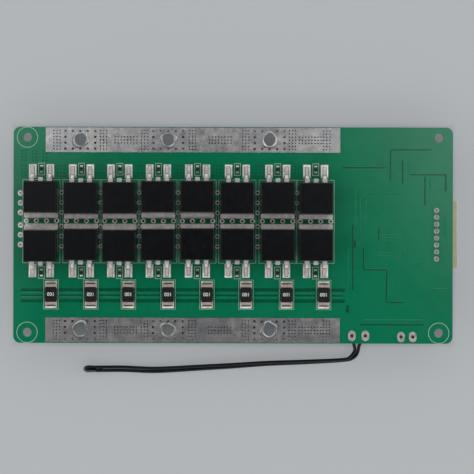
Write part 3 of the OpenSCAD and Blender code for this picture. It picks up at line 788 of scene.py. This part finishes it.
BOARD_FIRST_LAND = (34.4, -29.0)
WIRE_PITCH = 3.9
LEG_A = [(0, -0.05, 3.5), (0.2, -0.7, 2.1), (0.7, -1.9, 1.2), (1.15, -3.3, 0.75)]
LEG_B = [(3.9, -0.05, 3.5), (3.7, -0.7, 2.1), (3.2, -1.9, 1.2), (2.55, -3.3, 0.75)]
WIRE_START = 4.4
PAIR_ROUTE = [
    # x, y, roll in degrees, lift: the pair's middle line from the first wire land
    (1.8, -4.7, 0, 0), (1.2, -5.9, 15, 0), (0.1, -6.85, 45, 0), (-1.4, -7.35, 70, 0),
    (-6, -7.7, 66, 0), (-14.4, -8.1, 58, 0), (-24.4, -8.5, 50, 0), (-34.4, -9.2, 40, 0),
    (-44.4, -9.8, 30, 0), (-52.4, -10.3, 20, 0), (-58.4, -10.5, 12, 0),
    (-65.9, -10.2, 5, 0.02), (-70.4, -10.2, 0, 0.12), (-74.6, -10.2, 0, 0.575),
]


def wire_route(index, leg, side, diameter):
    """Points of one wire, in metres, from its solder joint to the bead."""
    route = [Vector(p[:2]) for p in PAIR_ROUTE]
    half = (diameter / MM + 0.05) / 2
    points = [Vector((index * WIRE_PITCH, 0, WIRE_START))] + [Vector(p) for p in leg]
    for i, (x, y, roll, lift) in enumerate(PAIR_ROUTE):
        along = (route[min(i + 1, len(route) - 1)] - route[max(i - 1, 0)]).normalized()
        across = Vector((along.y, -along.x))
        out = side * half * math.cos(math.radians(roll))
        up = (side + 1) * half * math.sin(math.radians(roll))
        points.append(
            Vector((x + out * across.x, y + out * across.y, diameter / MM / 2 + lift + up))
        )
    first = place(*BOARD_FIRST_LAND)
    return [Vector((first.x + p.x * MM, first.y + p.y * MM, p.z * MM)) for p in points]


def smooth(points, steps):
    """Catmull-Rom curve through the points."""
    last = len(points) - 1
    line = []
    for i in range(last):
        a = points[i - 1] if i else 2 * points[0] - points[1]
        b, c = points[i], points[i + 1]
        d = points[i + 2] if i + 2 <= last else 2 * points[last] - points[last - 1]
        for s in range(steps):
            t = s / steps
            line.append(
                0.5 * (
                    2 * b + (c - a) * t + (2 * a - 5 * b + 4 * c - d) * t * t
                    + (3 * b - a - 3 * c + d) * t ** 3
                )
            )
    return line + [points[-1]]


def turned(profile, centre, axis="Z", sides=32):
    """Closed body of revolution: profile is (radius, distance along the axis) from end to end."""
    bm = bmesh.new()
    rows = []
    for radius, along in profile:
        row = []
        for k in range(1 if radius < 1e-9 else sides):
            angle = 2 * math.pi * k / sides
            c, s = radius * math.cos(angle), radius * math.sin(angle)
            offset = {"Z": (c, s, along), "X": (along, c, s), "-X": (-along, -c, s)}[axis]
            row.append(bm.verts.new(Vector(centre) + Vector(offset)))
        rows.append(row)
    for low, high in zip(rows, rows[1:]):
        for k in range(sides):
            corners = [low[k % len(low)], low[(k + 1) % len(low)],
                       high[(k + 1) % len(high)], high[k % len(high)]]
            corners = list(dict.fromkeys(corners))
            if len(corners) > 2:
                bm.faces.new(corners)
    for row in (rows[0], rows[-1]):
        if len(row) > 1:
            bm.faces.new(row)
    bmesh.ops.recalc_face_normals(bm, faces=bm.faces)
    return bm


class BOARD_OT_sensor(bpy.types.Operator):
    """Lays the two sensor wires and sets the epoxy bead on their ends"""

    bl_idname = "board.sensor"
    bl_label = "Lay sensor wires"

    def execute(self, context):
        s = context.scene.sensor_finish
        low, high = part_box("sensor_bead")
        middle, radius = (low + high) / 2, (high.y - low.y) / 2
        profile = [
            (0, -5.1), (0.5, -5.1), (0.84, -4.75), (0.9, -4.0), (0.88, -3.3), (0.93, -2.7),
            (1.0, -2.0), (1.04, -1.2), (1.05, -0.75), (1.0, -0.35), (0.86, 0.12), (0.6, 0.48),
            (0.32, 0.65), (0, 0.7),
        ]
        tip = low.x + 0.7 * MM
        scale = radius / MM / 1.05
        bm = turned(
            [(r * scale * MM, a * MM) for r, a in profile], (tip, middle.y, middle.z), "-X", 36
        )
        for vert in bm.verts:
            past = max(0.0, (vert.co.x - tip) / (3.5 * MM))
            vert.co.z = middle.z + (vert.co.z - middle.z) * (1 - 0.35 * min(past, 1.0))
            vert.co.z -= 0.3 * MM * min(past, 1.0)
            vert.co.z = max(vert.co.z, 0.02 * MM)
        bead = piece(
            "sensor_drop", to_mesh(bm, "sensor_drop"), FINISH["epoxy"],
            ["sensor_bead"], 60,
        )
        for index, (leg, side) in enumerate(((LEG_A, 1), (LEG_B, -1))):
            node = "sensor_wire_" + "ab"[index]
            line = smooth(wire_route(index, leg, side, s.wire), s.steps)
            curve = bpy.data.curves.new(node + "_tube", "CURVE")
            curve.dimensions = "3D"
            spline = curve.splines.new("POLY")
            spline.points.add(len(line) - 1)
            for point, at in zip(spline.points, line):
                point.co = (*at, 1)
            curve.bevel_depth = s.wire / 2
            curve.bevel_resolution = 5
            curve.use_fill_caps = True
            curve.materials.append(FINISH["vinyl"])
            tube = piece(node + "_tube", curve, None, [node])
        return {"FINISHED"}


# ---- Board, lands and strips ----


class BOARD_OT_board(bpy.types.Operator):
    """Paints the board and the plain lands that the CAD model already shapes"""

    bl_idname = "board.board"
    bl_label = "Finish board"

    def execute(self, context):
        finish_node("circuit_board", FINISH["mask"])
        finish_node("drain_lands", FINISH["land"])
        finish_node("component_lands", FINISH["land"])
        return {"FINISHED"}


# Columns of small vias, each of three by seven, and rows of eight by three, from the left
VIA_COLUMNS = (-50.95, -37.5, -25.6, -11.8, 3.6, 17.1, 27.0)
VIA_ROWS = (-31.0, -3.8, 22.25)
RING_PITCH = (2.15, 1.7)  # Between the vias round a terminal hole, in millimetres
TERMINALS = sorted(
    (m["pos_m"][0], m["pos_m"][1], m["dims"]["r_mm"] * MM)
    for m in frame["record"]["mounts"]
    if m["name"].split("_")[1] == "terminal"
)


def strip_holes(middle_y, finish):
    """Places and radii of all holes of the strip whose middle is at middle_y."""
    holes = [(x, y, r) for x, y, r in TERMINALS if abs(y - middle_y) < MM]
    for x, y, _ in list(holes):
        for i in range(-2, 3):
            for j in (-1.5, -0.5, 0.5, 1.5):
                if abs(i) == 2 or abs(j) == 1.5:
                    along, across = i * RING_PITCH[0] * MM, j * RING_PITCH[1] * MM
                    holes.append((x + along, y + across, finish.ring_via))
    fields = [(x, (-1, 0, 1), range(-3, 4)) for x in VIA_COLUMNS]
    fields += [(x, [i - 3.5 for i in range(8)], (-1, 0, 1)) for x in VIA_ROWS]
    for x, columns, rows in fields:
        for i in columns:
            for j in rows:
                holes.append(
                    (place(x, 0).x + i * finish.pitch, middle_y + j * finish.pitch, finish.via)
                )
    return holes


class BOARD_OT_strips(bpy.types.Operator):
    """Makes the two perforated bus strips, the floors of their vias with painted shade and solder,
    and the solder on them
    """

    bl_idname = "board.strips"
    bl_label = "Perforate bus strips"

    def execute(self, context):
        settings = context.scene.strip_finish
        plate = perforated_plate()
        for name in ("upper_bus_strip", "lower_bus_strip"):
            low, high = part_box(name)
            mid = (low + high) / 2
            holes = strip_holes(mid.y, settings)
            floor_t = 0.02 * MM
            for ending, some, finish, slot, stands_for, base, thickness in (
                ("_plate", holes, "strip", "tinned_copper", [name], TOP + floor_t,
                 high.z - TOP - floor_t),
                ("_via_shade_and_solder_floor", holes[:3], "pit_shade_and_solder", None, (), TOP, floor_t),
            ):
                host = points_mesh(
                    [(x, y, 0) for x, y, _ in some], hole=[(r, r, r) for _, _, r in some]
                )
                plate.grow(
                    name + ending, host, FINISH[finish], slot, stands_for,
                    thickness=thickness, base=base, sides=14, middle_x=mid.x, middle_y=mid.y,
                    length=high.x - low.x, width=high.y - low.y,
                )
        self.pools()
        return {"FINISHED"}

    def pools(self):
        """Uneven pools of solder left round the terminal holes."""
        bm = bmesh.new()
        sides, steps = 64, 7
        for n, (x, y, r) in enumerate(TERMINALS):
            rows = []
            for i in range(steps + 1):
                share = i / steps
                row = []
                for k in range(sides):
                    a = 2 * math.pi * k / sides
                    wave = noise.noise((math.cos(a) * 1.3, math.sin(a) * 1.3, n * 3.7))
                    width = (0.75 + 0.75 * wave) * MM
                    radius = r + 0.02 * MM + max(width, 0.25 * MM) * share
                    high = 0.05 * MM * math.sin(math.pi * min(share * 0.9 + 0.1, 1.0)) ** 0.7
                    row.append(
                        bm.verts.new(
                            (x + radius * math.cos(a), y + radius * math.sin(a), SEAT + high)
                        )
                    )
                rows.append(row)
            base = [
                [bm.verts.new((v.co.x, v.co.y, SEAT - 0.03 * MM)) for v in row]
                for row in (rows[-1], rows[0])
            ]
            loops = rows + base + [rows[0]]
            for low, high in zip(loops, loops[1:]):
                for k in range(sides):
                    m = (k + 1) % sides
                    bm.faces.new((low[k], low[m], high[m], high[k]))
        bmesh.ops.recalc_face_normals(bm, faces=bm.faces)
        piece("terminal_solder", to_mesh(bm, "terminal_solder"), FINISH["strip"])


RING_HOLE = 0.33 * MM
RING_THICK = 0.14 * MM


class BOARD_OT_rings(bpy.types.Operator):
    """Makes the plated rings, painted shade in their holes, the filled pads at the left edge and
    the wire lands
    """

    bl_idname = "board.rings"
    bl_label = "Plate rings"

    def execute(self, context):
        rings = plated_rings()
        groups = {}
        for low, high in islands("via_rings"):
            groups.setdefault(round((high.x - low.x) / MM, 2), []).append((low + high) / 2)
        sizes = sorted(groups)
        for label, size in zip(("gap", "band", "edge"), sizes):
            at = [(p.x, p.y, TOP + RING_THICK * 0.35) for p in groups[size]]
            rings.grow(
                label + "_rings", points_mesh(at), FINISH["land"], "tinned_copper",
                () if label == "edge" else ["via_rings"], 60,
                outer=size * MM / 2, hole=RING_HOLE, thickness=RING_THICK, sides=24,
            )
        edge, band = groups[sizes[2]], groups[sizes[1]]
        filled = edge + [min(band, key=lambda p: p.x)]
        holes = [p for size in sizes[:2] for p in groups[size] if p is not filled[-1]]
        drops = solder_drops()
        for name, points, z, size, finish in (
            # Painted shade: near-black drops sunk in the ring holes.
            ("via_plugs", holes, TOP - 0.3 * MM, (0.34, 0.34, 0.12), "plug"),
            ("filled_vias", filled, TOP + 0.01 * MM, (0.4, 0.4, 0.07), "dull"),
        ):
            host = even_points([(p.x, p.y, z) for p in points], *size)
            drops.grow(name, host, FINISH[finish], None, (), 60, segments=16, rings=8)
        self.wire_holes(drops)
        finish_node("wire_lands", FINISH["dull_land"])
        finish_node("wire_joints", FINISH["solder"])
        return {"FINISHED"}

    def wire_holes(self, drops):
        """Flux left in the holes of the wire lands."""
        lands = [(low + high) / 2 for low, high in islands("wire_lands")]
        host = even_points([(p.x, p.y, TOP - 0.25 * MM) for p in lands], 0.62, 0.62, 0.2)
        drops.grow("wire_hole_flux", host, FINISH["red_flux"], None, (), 60, segments=20, rings=10)


# Tracks and gaps under the mask, in millimetres on the board
TRACKS = [
    [(47.9, 12.3), (38.4, 12.3), (36.8, 10.5), (36.8, 0.1)],
    [(38.4, 10.5), (38.4, 0.1)],
    [(50.8, 21.7), (50.8, 17.7)],
    [(56.9, 16.5), (56.9, 13.1)],
    [(41.9, 0.1), (48.2, 0.1), (50.7, -2.4), (50.7, -5.7)],
    [(42.5, -0.7), (47.9, -0.7), (49.5, -2.3), (49.5, -5.7)],
    [(43.6, -1.4), (47.6, -1.4), (48.5, -2.3)],
    [(41.3, -5.0), (45.9, -5.0)],
    [(41.3, -5.7), (45.9, -5.7)],
    [(55.3, -6.0), (50.7, -10.6)],
    [(61.1, 5.5), (61.1, 0.1), (62.6, -0.2)],
    [(57.5, -15.3), (61.8, -15.3)],
    [(34.2, 18.7), (41.2, 18.7)],
    [(34.2, 16.3), (41.8, 16.3), (42.7, 15.3)],
    [(35.4, 14.0), (35.4, 2.2)],
    [(48.2, -3.2), (48.2, -18.6)],
    [(33.3, -3.6), (33.3, -15.0)],
    [(38.0, -24.4), (55.0, -24.4)],
    [(-61.3, -16.75), (31.6, -16.75)],
    [(-61.3, -18.05), (31.6, -18.05)],
]
GAPS = [
    [(57.2, 24.9), (46.2, 24.9), (45.5, 24.2), (45.5, 15.7)],
    [(31.5, 19.7), (44.2, 19.7)],
    [(49.0, 21.7), (49.0, 14.9)],
    [(51.1, 17.7), (61.5, 17.7), (61.5, 12.8)],
    [(55.5, 17.1), (55.5, 8.7)],
    [(37.8, -3.7), (37.8, -9.8), (44.6, -9.8), (44.3, -19.2), (49.3, -19.3)],
    [(34.7, 3.2), (34.7, -15.8)],
    [(42.2, 2.4), (42.2, -1.4)],
    [(36.7, -25.7), (55.2, -25.7)],
    [(-61.3, -17.4), (31.8, -17.4)],
]
WIDE_GAPS = [
    [(-61.3, -15.8), (32.3, -15.8)],
    [(-61.3, -19.0), (32.3, -19.0)],
    [(33.1, -20.2), (33.1, -22.3)],
    [(35.2, -1.4), (35.2, -3.5)],
]
WEB_PITCH = 2.93  # Between the crosses in the band between the transistor rows


class BOARD_OT_tracks(bpy.types.Operator):
    """Lays the tracks, gaps and covered vias that show through the solder mask"""

    bl_idname = "board.tracks"
    bl_label = "Lay covered tracks"

    def execute(self, context):
        tracks = covered_tracks()
        groups = (
            ("raised_tracks", TRACKS, "track", 0.45, 0.035),
            ("pour_gaps", GAPS, "gap", 0.5, 0.012),
            ("wide_pour_gaps", WIDE_GAPS, "gap", 1.0, 0.012),
        )
        for name, lines, finish, width, height in groups:
            tracks.grow(
                name, lines_mesh(lines, TOP), FINISH[finish], "solder_mask", (), 50,
                width=width * MM, height=height * MM, bend=0.4 * MM,
            )
        webs = []
        for low, high in islands("drain_lands"):
            if low.y > ROW_SPLIT:
                centre = (low.x + high.x) / 2
                webs += [centre + i * WEB_PITCH * MM for i in (-1, 0, 1)]
        band = self.band_y()
        lines = []
        for x in webs:
            u, v = (x - MIDDLE.x) / MM, (band - MIDDLE.y) / MM
            lines += [
                [(u - 0.6, v - 0.32), (u + 0.6, v + 0.32)],
                [(u - 0.6, v + 0.32), (u + 0.6, v - 0.32)],
            ]
        tracks.grow(
            "thermal_webs", lines_mesh(lines, TOP), FINISH["gap"], "solder_mask", (), 50,
            width=0.24 * MM, height=0.03 * MM, bend=0.01 * MM,
        )
        dots = [
            (x, y) for xs, ys in (
                ((-61.0, -60.0, -57.9, -56.9, -54.9, -53.9), (24.3, 23.4, 22.4, 21.5)),
                ((-61.0, -60.0, -50.8, -49.8, -48.8), (20.0, 19.0, 18.0, 17.0)),
            )
            for x in xs for y in ys
        ]
        dots += [(c + dx, y) for c in (-38.3, -26.8, -15.6, -4.2, 7.1, 18.4)
                 for dx in (-0.5, 0.5) for y in (20.0, 19.0, 18.0)]
        host = even_points([place(x, y, TOP) for x, y in dots], 0.24, 0.24, 0.025)
        solder_drops().grow(
            "covered_vias", host, FINISH["gap"], "solder_mask", (), 60, segments=12, rings=6
        )
        return {"FINISHED"}

    def band_y(self):
        """Middle of the row of rings between the transistor rows."""
        widest = {}
        for low, high in islands("via_rings"):
            widest.setdefault(round((low.y + high.y) / 2, 5), []).append(low)
        return max(widest, key=lambda y: len(widest[y]))


# ---- Parts on the switching side ----


class BOARD_OT_transistors(bpy.types.Operator):
    """Rounds the transistors' moulded bodies and their tinned leads and tabs"""

    bl_idname = "board.transistors"
    bl_label = "Finish transistors"

    def execute(self, context):
        dress_all(
            ("transistor_bodies", TRANSISTORS, "mould", 0.14, 1.6, "mould_compound"),
            ("transistor_leads", TRANSISTOR_FRAMES, "lead", 0.06, 0.45, "tinned_leads"),
        )
        return {"FINISHED"}


# Pitch of a transistor's leads, and the foot of each
LEAD_PITCH = 2.54 * MM
FOOT_L = 2.3 * MM
FOOT_W = 0.8 * MM
# A land wider than the first holds a shunt, a narrower one longer than the second a lead
SHUNT_LAND_W = 3 * MM
LEAD_LAND_L = 2 * MM


class BOARD_OT_joints(bpy.types.Operator):
    """Puts solder on the lands of the leads, the gate resistors and the shunts"""

    bl_idname = "board.joints"
    bl_label = "Solder joints"

    def execute(self, context):
        s = context.scene.joint_finish
        draw = random.Random(s.seed)
        ends = islands("shunt_ends")
        shunts = sum(((low.y + high.y) / 2 for low, high in ends), 0.0) / len(ends)
        at, sizes = [], []
        for low, high in islands("component_lands"):
            w, l = high.x - low.x, high.y - low.y
            x, y = (low.x + high.x) / 2, (low.y + high.y) / 2
            height = s.lead if w < SHUNT_LAND_W and l > LEAD_LAND_L else s.end
            grow = 1 + draw.uniform(-0.18, 0.18)
            past = 0.26 * MM if w > SHUNT_LAND_W else 0.0
            at.append((x, y + math.copysign(past / 2, y - shunts), TOP))
            sizes.append((w * 0.98, l * 0.98 + past, height * grow + SEAT - TOP))
        solder_mounds().grow(
            "lead_solder", points_mesh(at, size=sizes), FINISH["land"], "solder", (), 80, steps=11
        )
        finish_node("balance_joints", FINISH["dull"])
        self.feet()
        return {"FINISHED"}

    def feet(self):
        """Painted shade: a dark line round each lead's foot, and a dark spot where it bends down at
        its heel.
        """
        frames, heels = [], []
        for name in TRANSISTOR_FRAMES:
            low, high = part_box(name)
            upper = (low.y + high.y) / 2 > ROW_SPLIT
            tip, inward = (high.y, -1) if upper else (low.y, 1)
            for side in (-1, 1):
                x = (low.x + high.x) / 2 + side * LEAD_PITCH
                frames.append((x, tip + inward * FOOT_L / 2))
                heels.append((x, tip + inward * (FOOT_L + 0.12 * MM), SEAT + 0.6 * MM))
        # Painted shade along the edges of each foot
        host = frames_host(
            [(x, y, FOOT_W / 2, FOOT_L / 2, 0.13 * MM, 0.02 * MM) for x, y in frames]
        )
        printed_frames("foot_seams", False).grow(
            "foot_seams", host, FINISH["foot_shade"], None, (), thickness=0.36 * MM, base=SEAT
        )
        # Painted shade where the lead bends down to its foot
        host = even_points(heels, 0.4, 0.22, 0.13)
        solder_drops().grow("heel_shade_spots", host, FINISH["foot_shade"], None, (), 60, segments=14, rings=8)


class BOARD_OT_resistors(bpy.types.Operator):
    """Rounds the shunts and the gate resistors and prints the shunts' numbers"""

    bl_idname = "board.resistors"
    bl_label = "Finish resistors"

    def execute(self, context):
        dress_all(
            ("shunt_bodies", ["shunt_resistors"], "glaze", 0.05, 0.5, "resistor_glaze"),
            ("shunt_caps", ["shunt_ends"], "cap", 0.09, 0.5, "tinned_leads"),
            ("gate_bodies", ["gate_resistors"], "glaze", 0.04, 0.3, "resistor_glaze"),
            ("gate_caps", ["gate_resistor_ends"], "dull", 0.05, 0.25, "solder"),
        )
        bodies = islands("shunt_resistors")
        self.flux(islands("shunt_ends"), bodies)
        self.numbers(bodies)
        return {"FINISHED"}

    def flux(self, ends, bodies):
        """Brown line of flux along the outer edge of each shunt's end."""
        middle = sum(((low.y + high.y) / 2 for low, high in bodies), 0.0) / len(bodies)
        at = []
        for low, high in ends:
            outer = high.y if (low.y + high.y) / 2 > middle else low.y
            inward = -1 if outer == high.y else 1
            at.append(((low.x + high.x) / 2, outer + inward * 0.04 * MM, high.z - 0.07 * MM))
        sizes = [(high.x - low.x - 0.1 * MM, 0.44 * MM, 0.1 * MM) for low, high in ends]
        solder_mounds().grow(
            "shunt_flux", points_mesh(at, size=sizes), FINISH["flux"], None, (), 60, steps=9
        )

    def numbers(self, bodies):
        """Plain number on each shunt."""
        curve = bpy.data.curves.new("shunt_number", "FONT")
        curve.body = "001"
        curve.size = 1.45 * MM
        curve.extrude = 0.008 * MM
        curve.offset = 0.03 * MM
        curve.align_x = "CENTER"
        curve.align_y = "CENTER"
        curve.resolution_u = 3
        text = show(bpy.data.objects.new("shunt_number_host", curve))
        graph = bpy.context.evaluated_depsgraph_get()
        flat = bpy.data.meshes.new_from_object(text.evaluated_get(graph), depsgraph=graph)
        bpy.data.objects.remove(text)
        bm = bmesh.new()
        for low, high in bodies:
            start = len(bm.verts)
            bm.from_mesh(flat)
            bm.verts.ensure_lookup_table()
            for vert in bm.verts[start:]:
                vert.co += Vector(((low.x + high.x) / 2, (low.y + high.y) / 2, high.z))
        bmesh.ops.remove_doubles(bm, verts=bm.verts, dist=1e-7)
        piece("shunt_numbers", to_mesh(bm, "shunt_numbers"), FINISH["code"])


# Printed outlines: width of a transistor column's box and the room at its ends, sizes of the
# boxes round a gate resistor and a shunt, and radius of the circles round the corner holes
COLUMN_BOX_W = 10.75 * MM
COLUMN_ROOM = 0.25 * MM
GATE_BOX = (1.74 * MM, 3.4 * MM)
SHUNT_BOX = (4.2 * MM, 8.5 * MM)
CORNER_CIRCLE = 2.95 * MM


class BOARD_OT_ink(bpy.types.Operator):
    """Prints the thin pale outlines round the parts and the corner holes"""

    bl_idname = "board.ink"
    bl_label = "Print outlines"

    def execute(self, context):
        line = context.scene.board_finish.line
        frames = []
        boxes = [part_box(n) for n in TRANSISTORS]
        columns = sorted({round((low.x + high.x) / 2, 6) for low, high in boxes})
        top = max(high.y for _, high in boxes) + COLUMN_ROOM
        foot = min(low.y for low, _ in boxes) - COLUMN_ROOM
        for x in columns:
            frames.append((x, (top + foot) / 2, COLUMN_BOX_W, top - foot, line))
        for node, size, width in (
            ("gate_resistor_ends", GATE_BOX, line * 1.2), ("shunt_ends", SHUNT_BOX, line),
        ):
            for low, high in self.pairs(node):
                frames.append(((low.x + high.x) / 2, (low.y + high.y) / 2, *size, width))
        host = frames_host([(x, y, w / 2, h / 2, t / 2, t / 2) for x, y, w, h, t in frames])
        printed_frames("printed_boxes", False).grow(
            "printed_boxes", host, FINISH["ink"], None, (), thickness=INK_THICK, base=TOP
        )
        holes = next(m for m in frame["record"]["mounts"] if m["name"] == "corner_holes")
        dx = holes["dims"]["spacing_x_mm"] * MM / 2
        dy = holes["dims"]["spacing_y_mm"] * MM / 2
        x, y, _ = holes["pos_m"]
        corners = [(x - dx, y + dy), (x - dx, y - dy), (x + dx, y - dy)]
        host = frames_host(
            [(u, v, CORNER_CIRCLE, CORNER_CIRCLE, line * 0.6, line * 0.6) for u, v in corners]
        )
        printed_frames("printed_circles", True).grow(
            "printed_circles", host, FINISH["ink"], None, (), thickness=INK_THICK, base=TOP,
            sides=64,
        )
        return {"FINISHED"}

    def pairs(self, node):
        """Boxes round the two ends of each resistor."""
        found = islands(node)
        joined = []
        for low, high in found:
            for other in joined:
                near = abs(other[0].x - low.x) < 0.2 * MM and abs(other[0].y - low.y) < 7 * MM
                if near:
                    other[0].y, other[1].y = min(other[0].y, low.y), max(other[1].y, high.y)
                    break
            else:
                joined.append([low.copy(), high.copy()])
        return joined


class BOARD_OT_socket(bpy.types.Operator):
    """Rounds the balance socket and finishes its pins"""

    bl_idname = "board.socket"
    bl_label = "Finish balance socket"

    def execute(self, context):
        dress_all(("socket_housing", ["balance_socket"], "nylon", 0.12, 0.7, "nylon"))
        finish_node("balance_pins", FINISH["solder"])
        return {"FINISHED"}


class BOARD_OT_control_side(bpy.types.Operator):
    """Finishes the parts on the control side, under the board"""

    bl_idname = "board.control_side"
    bl_label = "Finish control side"

    def execute(self, context):
        dress_all(
            ("chip_body", ["monitor_chip"], "mould", 0.12, 1, "mould_compound"),
            ("channel_transistors", ["cell_transistors"], "mould", 0.08, 0.5, "mould_compound"),
            ("channel_resistors", ["cell_resistors"], "glaze", 0.05, 0.4, "resistor_glaze"),
            ("channel_resistor_caps", ["cell_resistor_ends"], "cap", 0.05, 0.3, "tinned_leads"),
            ("filter_bodies", ["filter_resistors"], "glaze", 0.04, 0.3, "resistor_glaze"),
            ("filter_caps", ["filter_resistor_ends"], "solder", 0.04, 0.25, "tinned_leads"),
        )
        finish_node("monitor_chip_leads", FINISH["lead"])
        finish_node("cell_transistor_leads", FINISH["lead"])
        self.cans()
        return {"FINISHED"}

    def cans(self):
        """Storage capacitors: drawn cans with a rolled neck."""
        dress_all(
            ("capacitor_sockets", ["capacitor_bases"], "mould", 0.08, 0.6, "mould_compound")
        )
        joined = bmesh.new()
        for low, high in islands("storage_capacitors"):
            r, h = (high.x - low.x) / 2, high.z - low.z
            edge = 0.35 * MM
            profile = [
                (0, 0.05 * MM), (r * 0.5, 0.05 * MM), (r - edge, 0), (r - edge * 0.35, edge * 0.25),
                (r, edge), (r, h * 0.68), (r * 0.985, h * 0.71), (r * 0.93, h * 0.76),
                (r * 0.93, h * 0.8), (r * 0.985, h * 0.85), (r, h * 0.88), (r, h), (0, h),
            ]
            bm = turned(profile, ((low.x + high.x) / 2, (low.y + high.y) / 2, low.z), "Z", 40)
            mesh = to_mesh(bm, "can")
            joined.from_mesh(mesh)
        piece(
            "capacitor_cans", to_mesh(joined, "capacitor_cans"), FINISH["can"],
            ["storage_capacitors"],
        )


# ---- Stage ----


# The studio's light by direction, as rise over run from straight up: a dark wedge where the
# camera hangs, two soft boxes beside it, and a bright room from half way down
WEDGE = {"middle": -0.016, "along": 0.0485, "lean": 0.6, "edge": (0.05, 0.22)}
BOXES = {"across": (0.16, 0.3), "middle": 0.1, "along": (0.08, 0.2), "level": 2.0}
ROOM = {"from": (0.9, 1.5), "level": 2.3}
FLOOR_GLOW = 0.6
FLOOR_HALF = 1.5


class BOARD_OT_stage(bpy.types.Operator):
    """Makes the floor, the soft studio light and the camera"""

    bl_idname = "board.stage"
    bl_label = "Set stage"

    def execute(self, context):
        scene = context.scene
        s = scene.stage_finish
        data = bpy.data.cameras.new("camera")
        camera = show(bpy.data.objects.new("camera", data))
        data.sensor_width = 36
        data.lens = data.sensor_width * (s.height - TOP) / s.width
        data.clip_start = 0.01
        data.clip_end = 20
        camera.location = (*s.aside, s.height)
        camera.rotation_euler = (0, 0, s.turn)
        scene.camera = camera
        bm = bmesh.new()
        corners = ((-1, -1), (1, -1), (1, 1), (-1, 1))
        bm.faces.new([bm.verts.new((x * FLOOR_HALF, y * FLOOR_HALF, 0)) for x, y in corners])
        floor = show(bpy.data.objects.new("floor", to_mesh(bm, "floor")))
        f = Finish("pale_floor", Specular_IOR_Level=0.2)
        tone = list(s.floor)
        pale = [c * 1.03 for c in tone] + [1.0]
        dark = [c * 0.97 for c in tone] + [1.0]
        f.rough(f.span(f.noise(40, 2.0), 0.3, 0.7, 0.75, 0.9))
        self.glow_and_painted_shade(f, tone, f.mix(f.noise(9, 2.0), dark, pale))
        floor.data.materials.append(f.material)
        self.light(scene, s.light)
        scene.view_settings.view_transform = "Standard"
        return {"FINISHED"}

    def glow_and_painted_shade(self, f, tone, cover):
        """Shows the floor partly at its own even tone, and paints shade on it under the board."""
        glow = f.add("ShaderNodeEmission", {"Color": tone + [1.0]})
        ray = f.add("ShaderNodeLightPath", out=None)
        seen = f.math("MAXIMUM", ray.outputs["Is Camera Ray"], ray.outputs["Is Glossy Ray"])
        clear = f.span(f.past_board(), -2 * MM, 2 * MM)
        # Painted shade: under the board the floor's colour falls to 0.6 of its tone.
        f.colour(f.mix(clear, [c * 0.6 for c in tone] + [1.0], cover))
        share = f.math("MULTIPLY", f.math("MULTIPLY", seen, clear), FLOOR_GLOW)
        both = f.add("ShaderNodeMixShader", {0: share, 1: f.shader.outputs[0], 2: glow})
        f.tree.links.new(both, f.tree.nodes["Material Output"].inputs["Surface"])

    def light(self, scene, strength):
        """Bright room with a dark wedge over the board, between two soft boxes."""
        world = bpy.data.worlds.new("studio")
        scene.world = world
        world.use_nodes = True
        n = Nodes(world.node_tree)
        back = world.node_tree.nodes["Background"]
        aim = n.add(
            "ShaderNodeSeparateXYZ", {0: n.add("ShaderNodeTexCoord", out="Generated")}, out=None
        )
        up = n.math("MAXIMUM", aim.outputs["Z"], 0.05)
        across, along = (n.math("DIVIDE", aim.outputs[i], up) for i in "XY")

        def step(*values):
            return n.span(*values, interpolation_type="SMOOTHSTEP")

        off = n.math("ABSOLUTE", n.math("SUBTRACT", across, WEDGE["middle"]))
        lean = n.math("MULTIPLY", n.math("SUBTRACT", along, WEDGE["along"]), WEDGE["lean"])
        wedge = step(n.math("ADD", off, lean), *WEDGE["edge"])
        wide = step(n.math("ABSOLUTE", across), *BOXES["across"], 1.0, 0.0)
        off = n.math("ABSOLUTE", n.math("SUBTRACT", along, BOXES["middle"]))
        deep = step(off, *BOXES["along"], 1.0, 0.0)
        boxes = n.math("MULTIPLY", wedge, n.math("MULTIPLY", wide, deep))
        reach = n.math(
            "SQRT",
            n.math("ADD", n.math("POWER", across, 2.0), n.math("POWER", along, 2.0)),
        )
        room = step(reach, *ROOM["from"], 0.02, ROOM["level"])
        level = n.math("ADD", n.math("MULTIPLY", boxes, BOXES["level"]), room)
        n.put(back, "Strength", n.math("MULTIPLY", level, strength))
        back.inputs["Color"].default_value = (0.995, 1.0, 1.01, 1)


# ---- Panel and registration ----

STEPS = (
    "stage", "sensor", "board", "strips", "rings", "tracks", "transistors", "joints",
    "resistors", "ink", "socket", "control_side",
)
GROUPS = {
    "board_finish": BoardFinish,
    "strip_finish": StripFinish,
    "joint_finish": JointFinish,
    "sensor_finish": SensorFinish,
    "stage_finish": StageFinish,
}


class BOARD_PT_panel(bpy.types.Panel):
    """Lists the board's settings and steps"""

    bl_idname = "BOARD_PT_panel"
    bl_label = "Battery board"
    bl_space_type = "VIEW_3D"
    bl_region_type = "UI"
    bl_category = "Battery board"

    def draw(self, context):
        for key, group in GROUPS.items():
            box = self.layout.box()
            box.label(text=key.replace("_", " ").capitalize())
            for name in group.__annotations__:
                box.prop(getattr(context.scene, key), name)
        for step in STEPS:
            self.layout.operator("board." + step)


CLASSES = (
    *GROUPS.values(), BOARD_OT_stage, BOARD_OT_sensor, BOARD_OT_board, BOARD_OT_strips,
    BOARD_OT_rings, BOARD_OT_tracks, BOARD_OT_transistors, BOARD_OT_joints,
    BOARD_OT_resistors, BOARD_OT_ink, BOARD_OT_socket, BOARD_OT_control_side, BOARD_PT_panel,
)
FINISH = {}


def register():
    for cls in CLASSES:
        bpy.utils.register_class(cls)
    for key, group in GROUPS.items():
        setattr(bpy.types.Scene, key, PointerProperty(type=group))


def unregister():
    for key in GROUPS:
        delattr(bpy.types.Scene, key)
    for cls in reversed(CLASSES):
        bpy.utils.unregister_class(cls)


def main():
    register()
    FINISH.update(make_finishes())
    for step in STEPS:
        getattr(bpy.ops.board, step)()


if __name__ == "__main__":
    main()
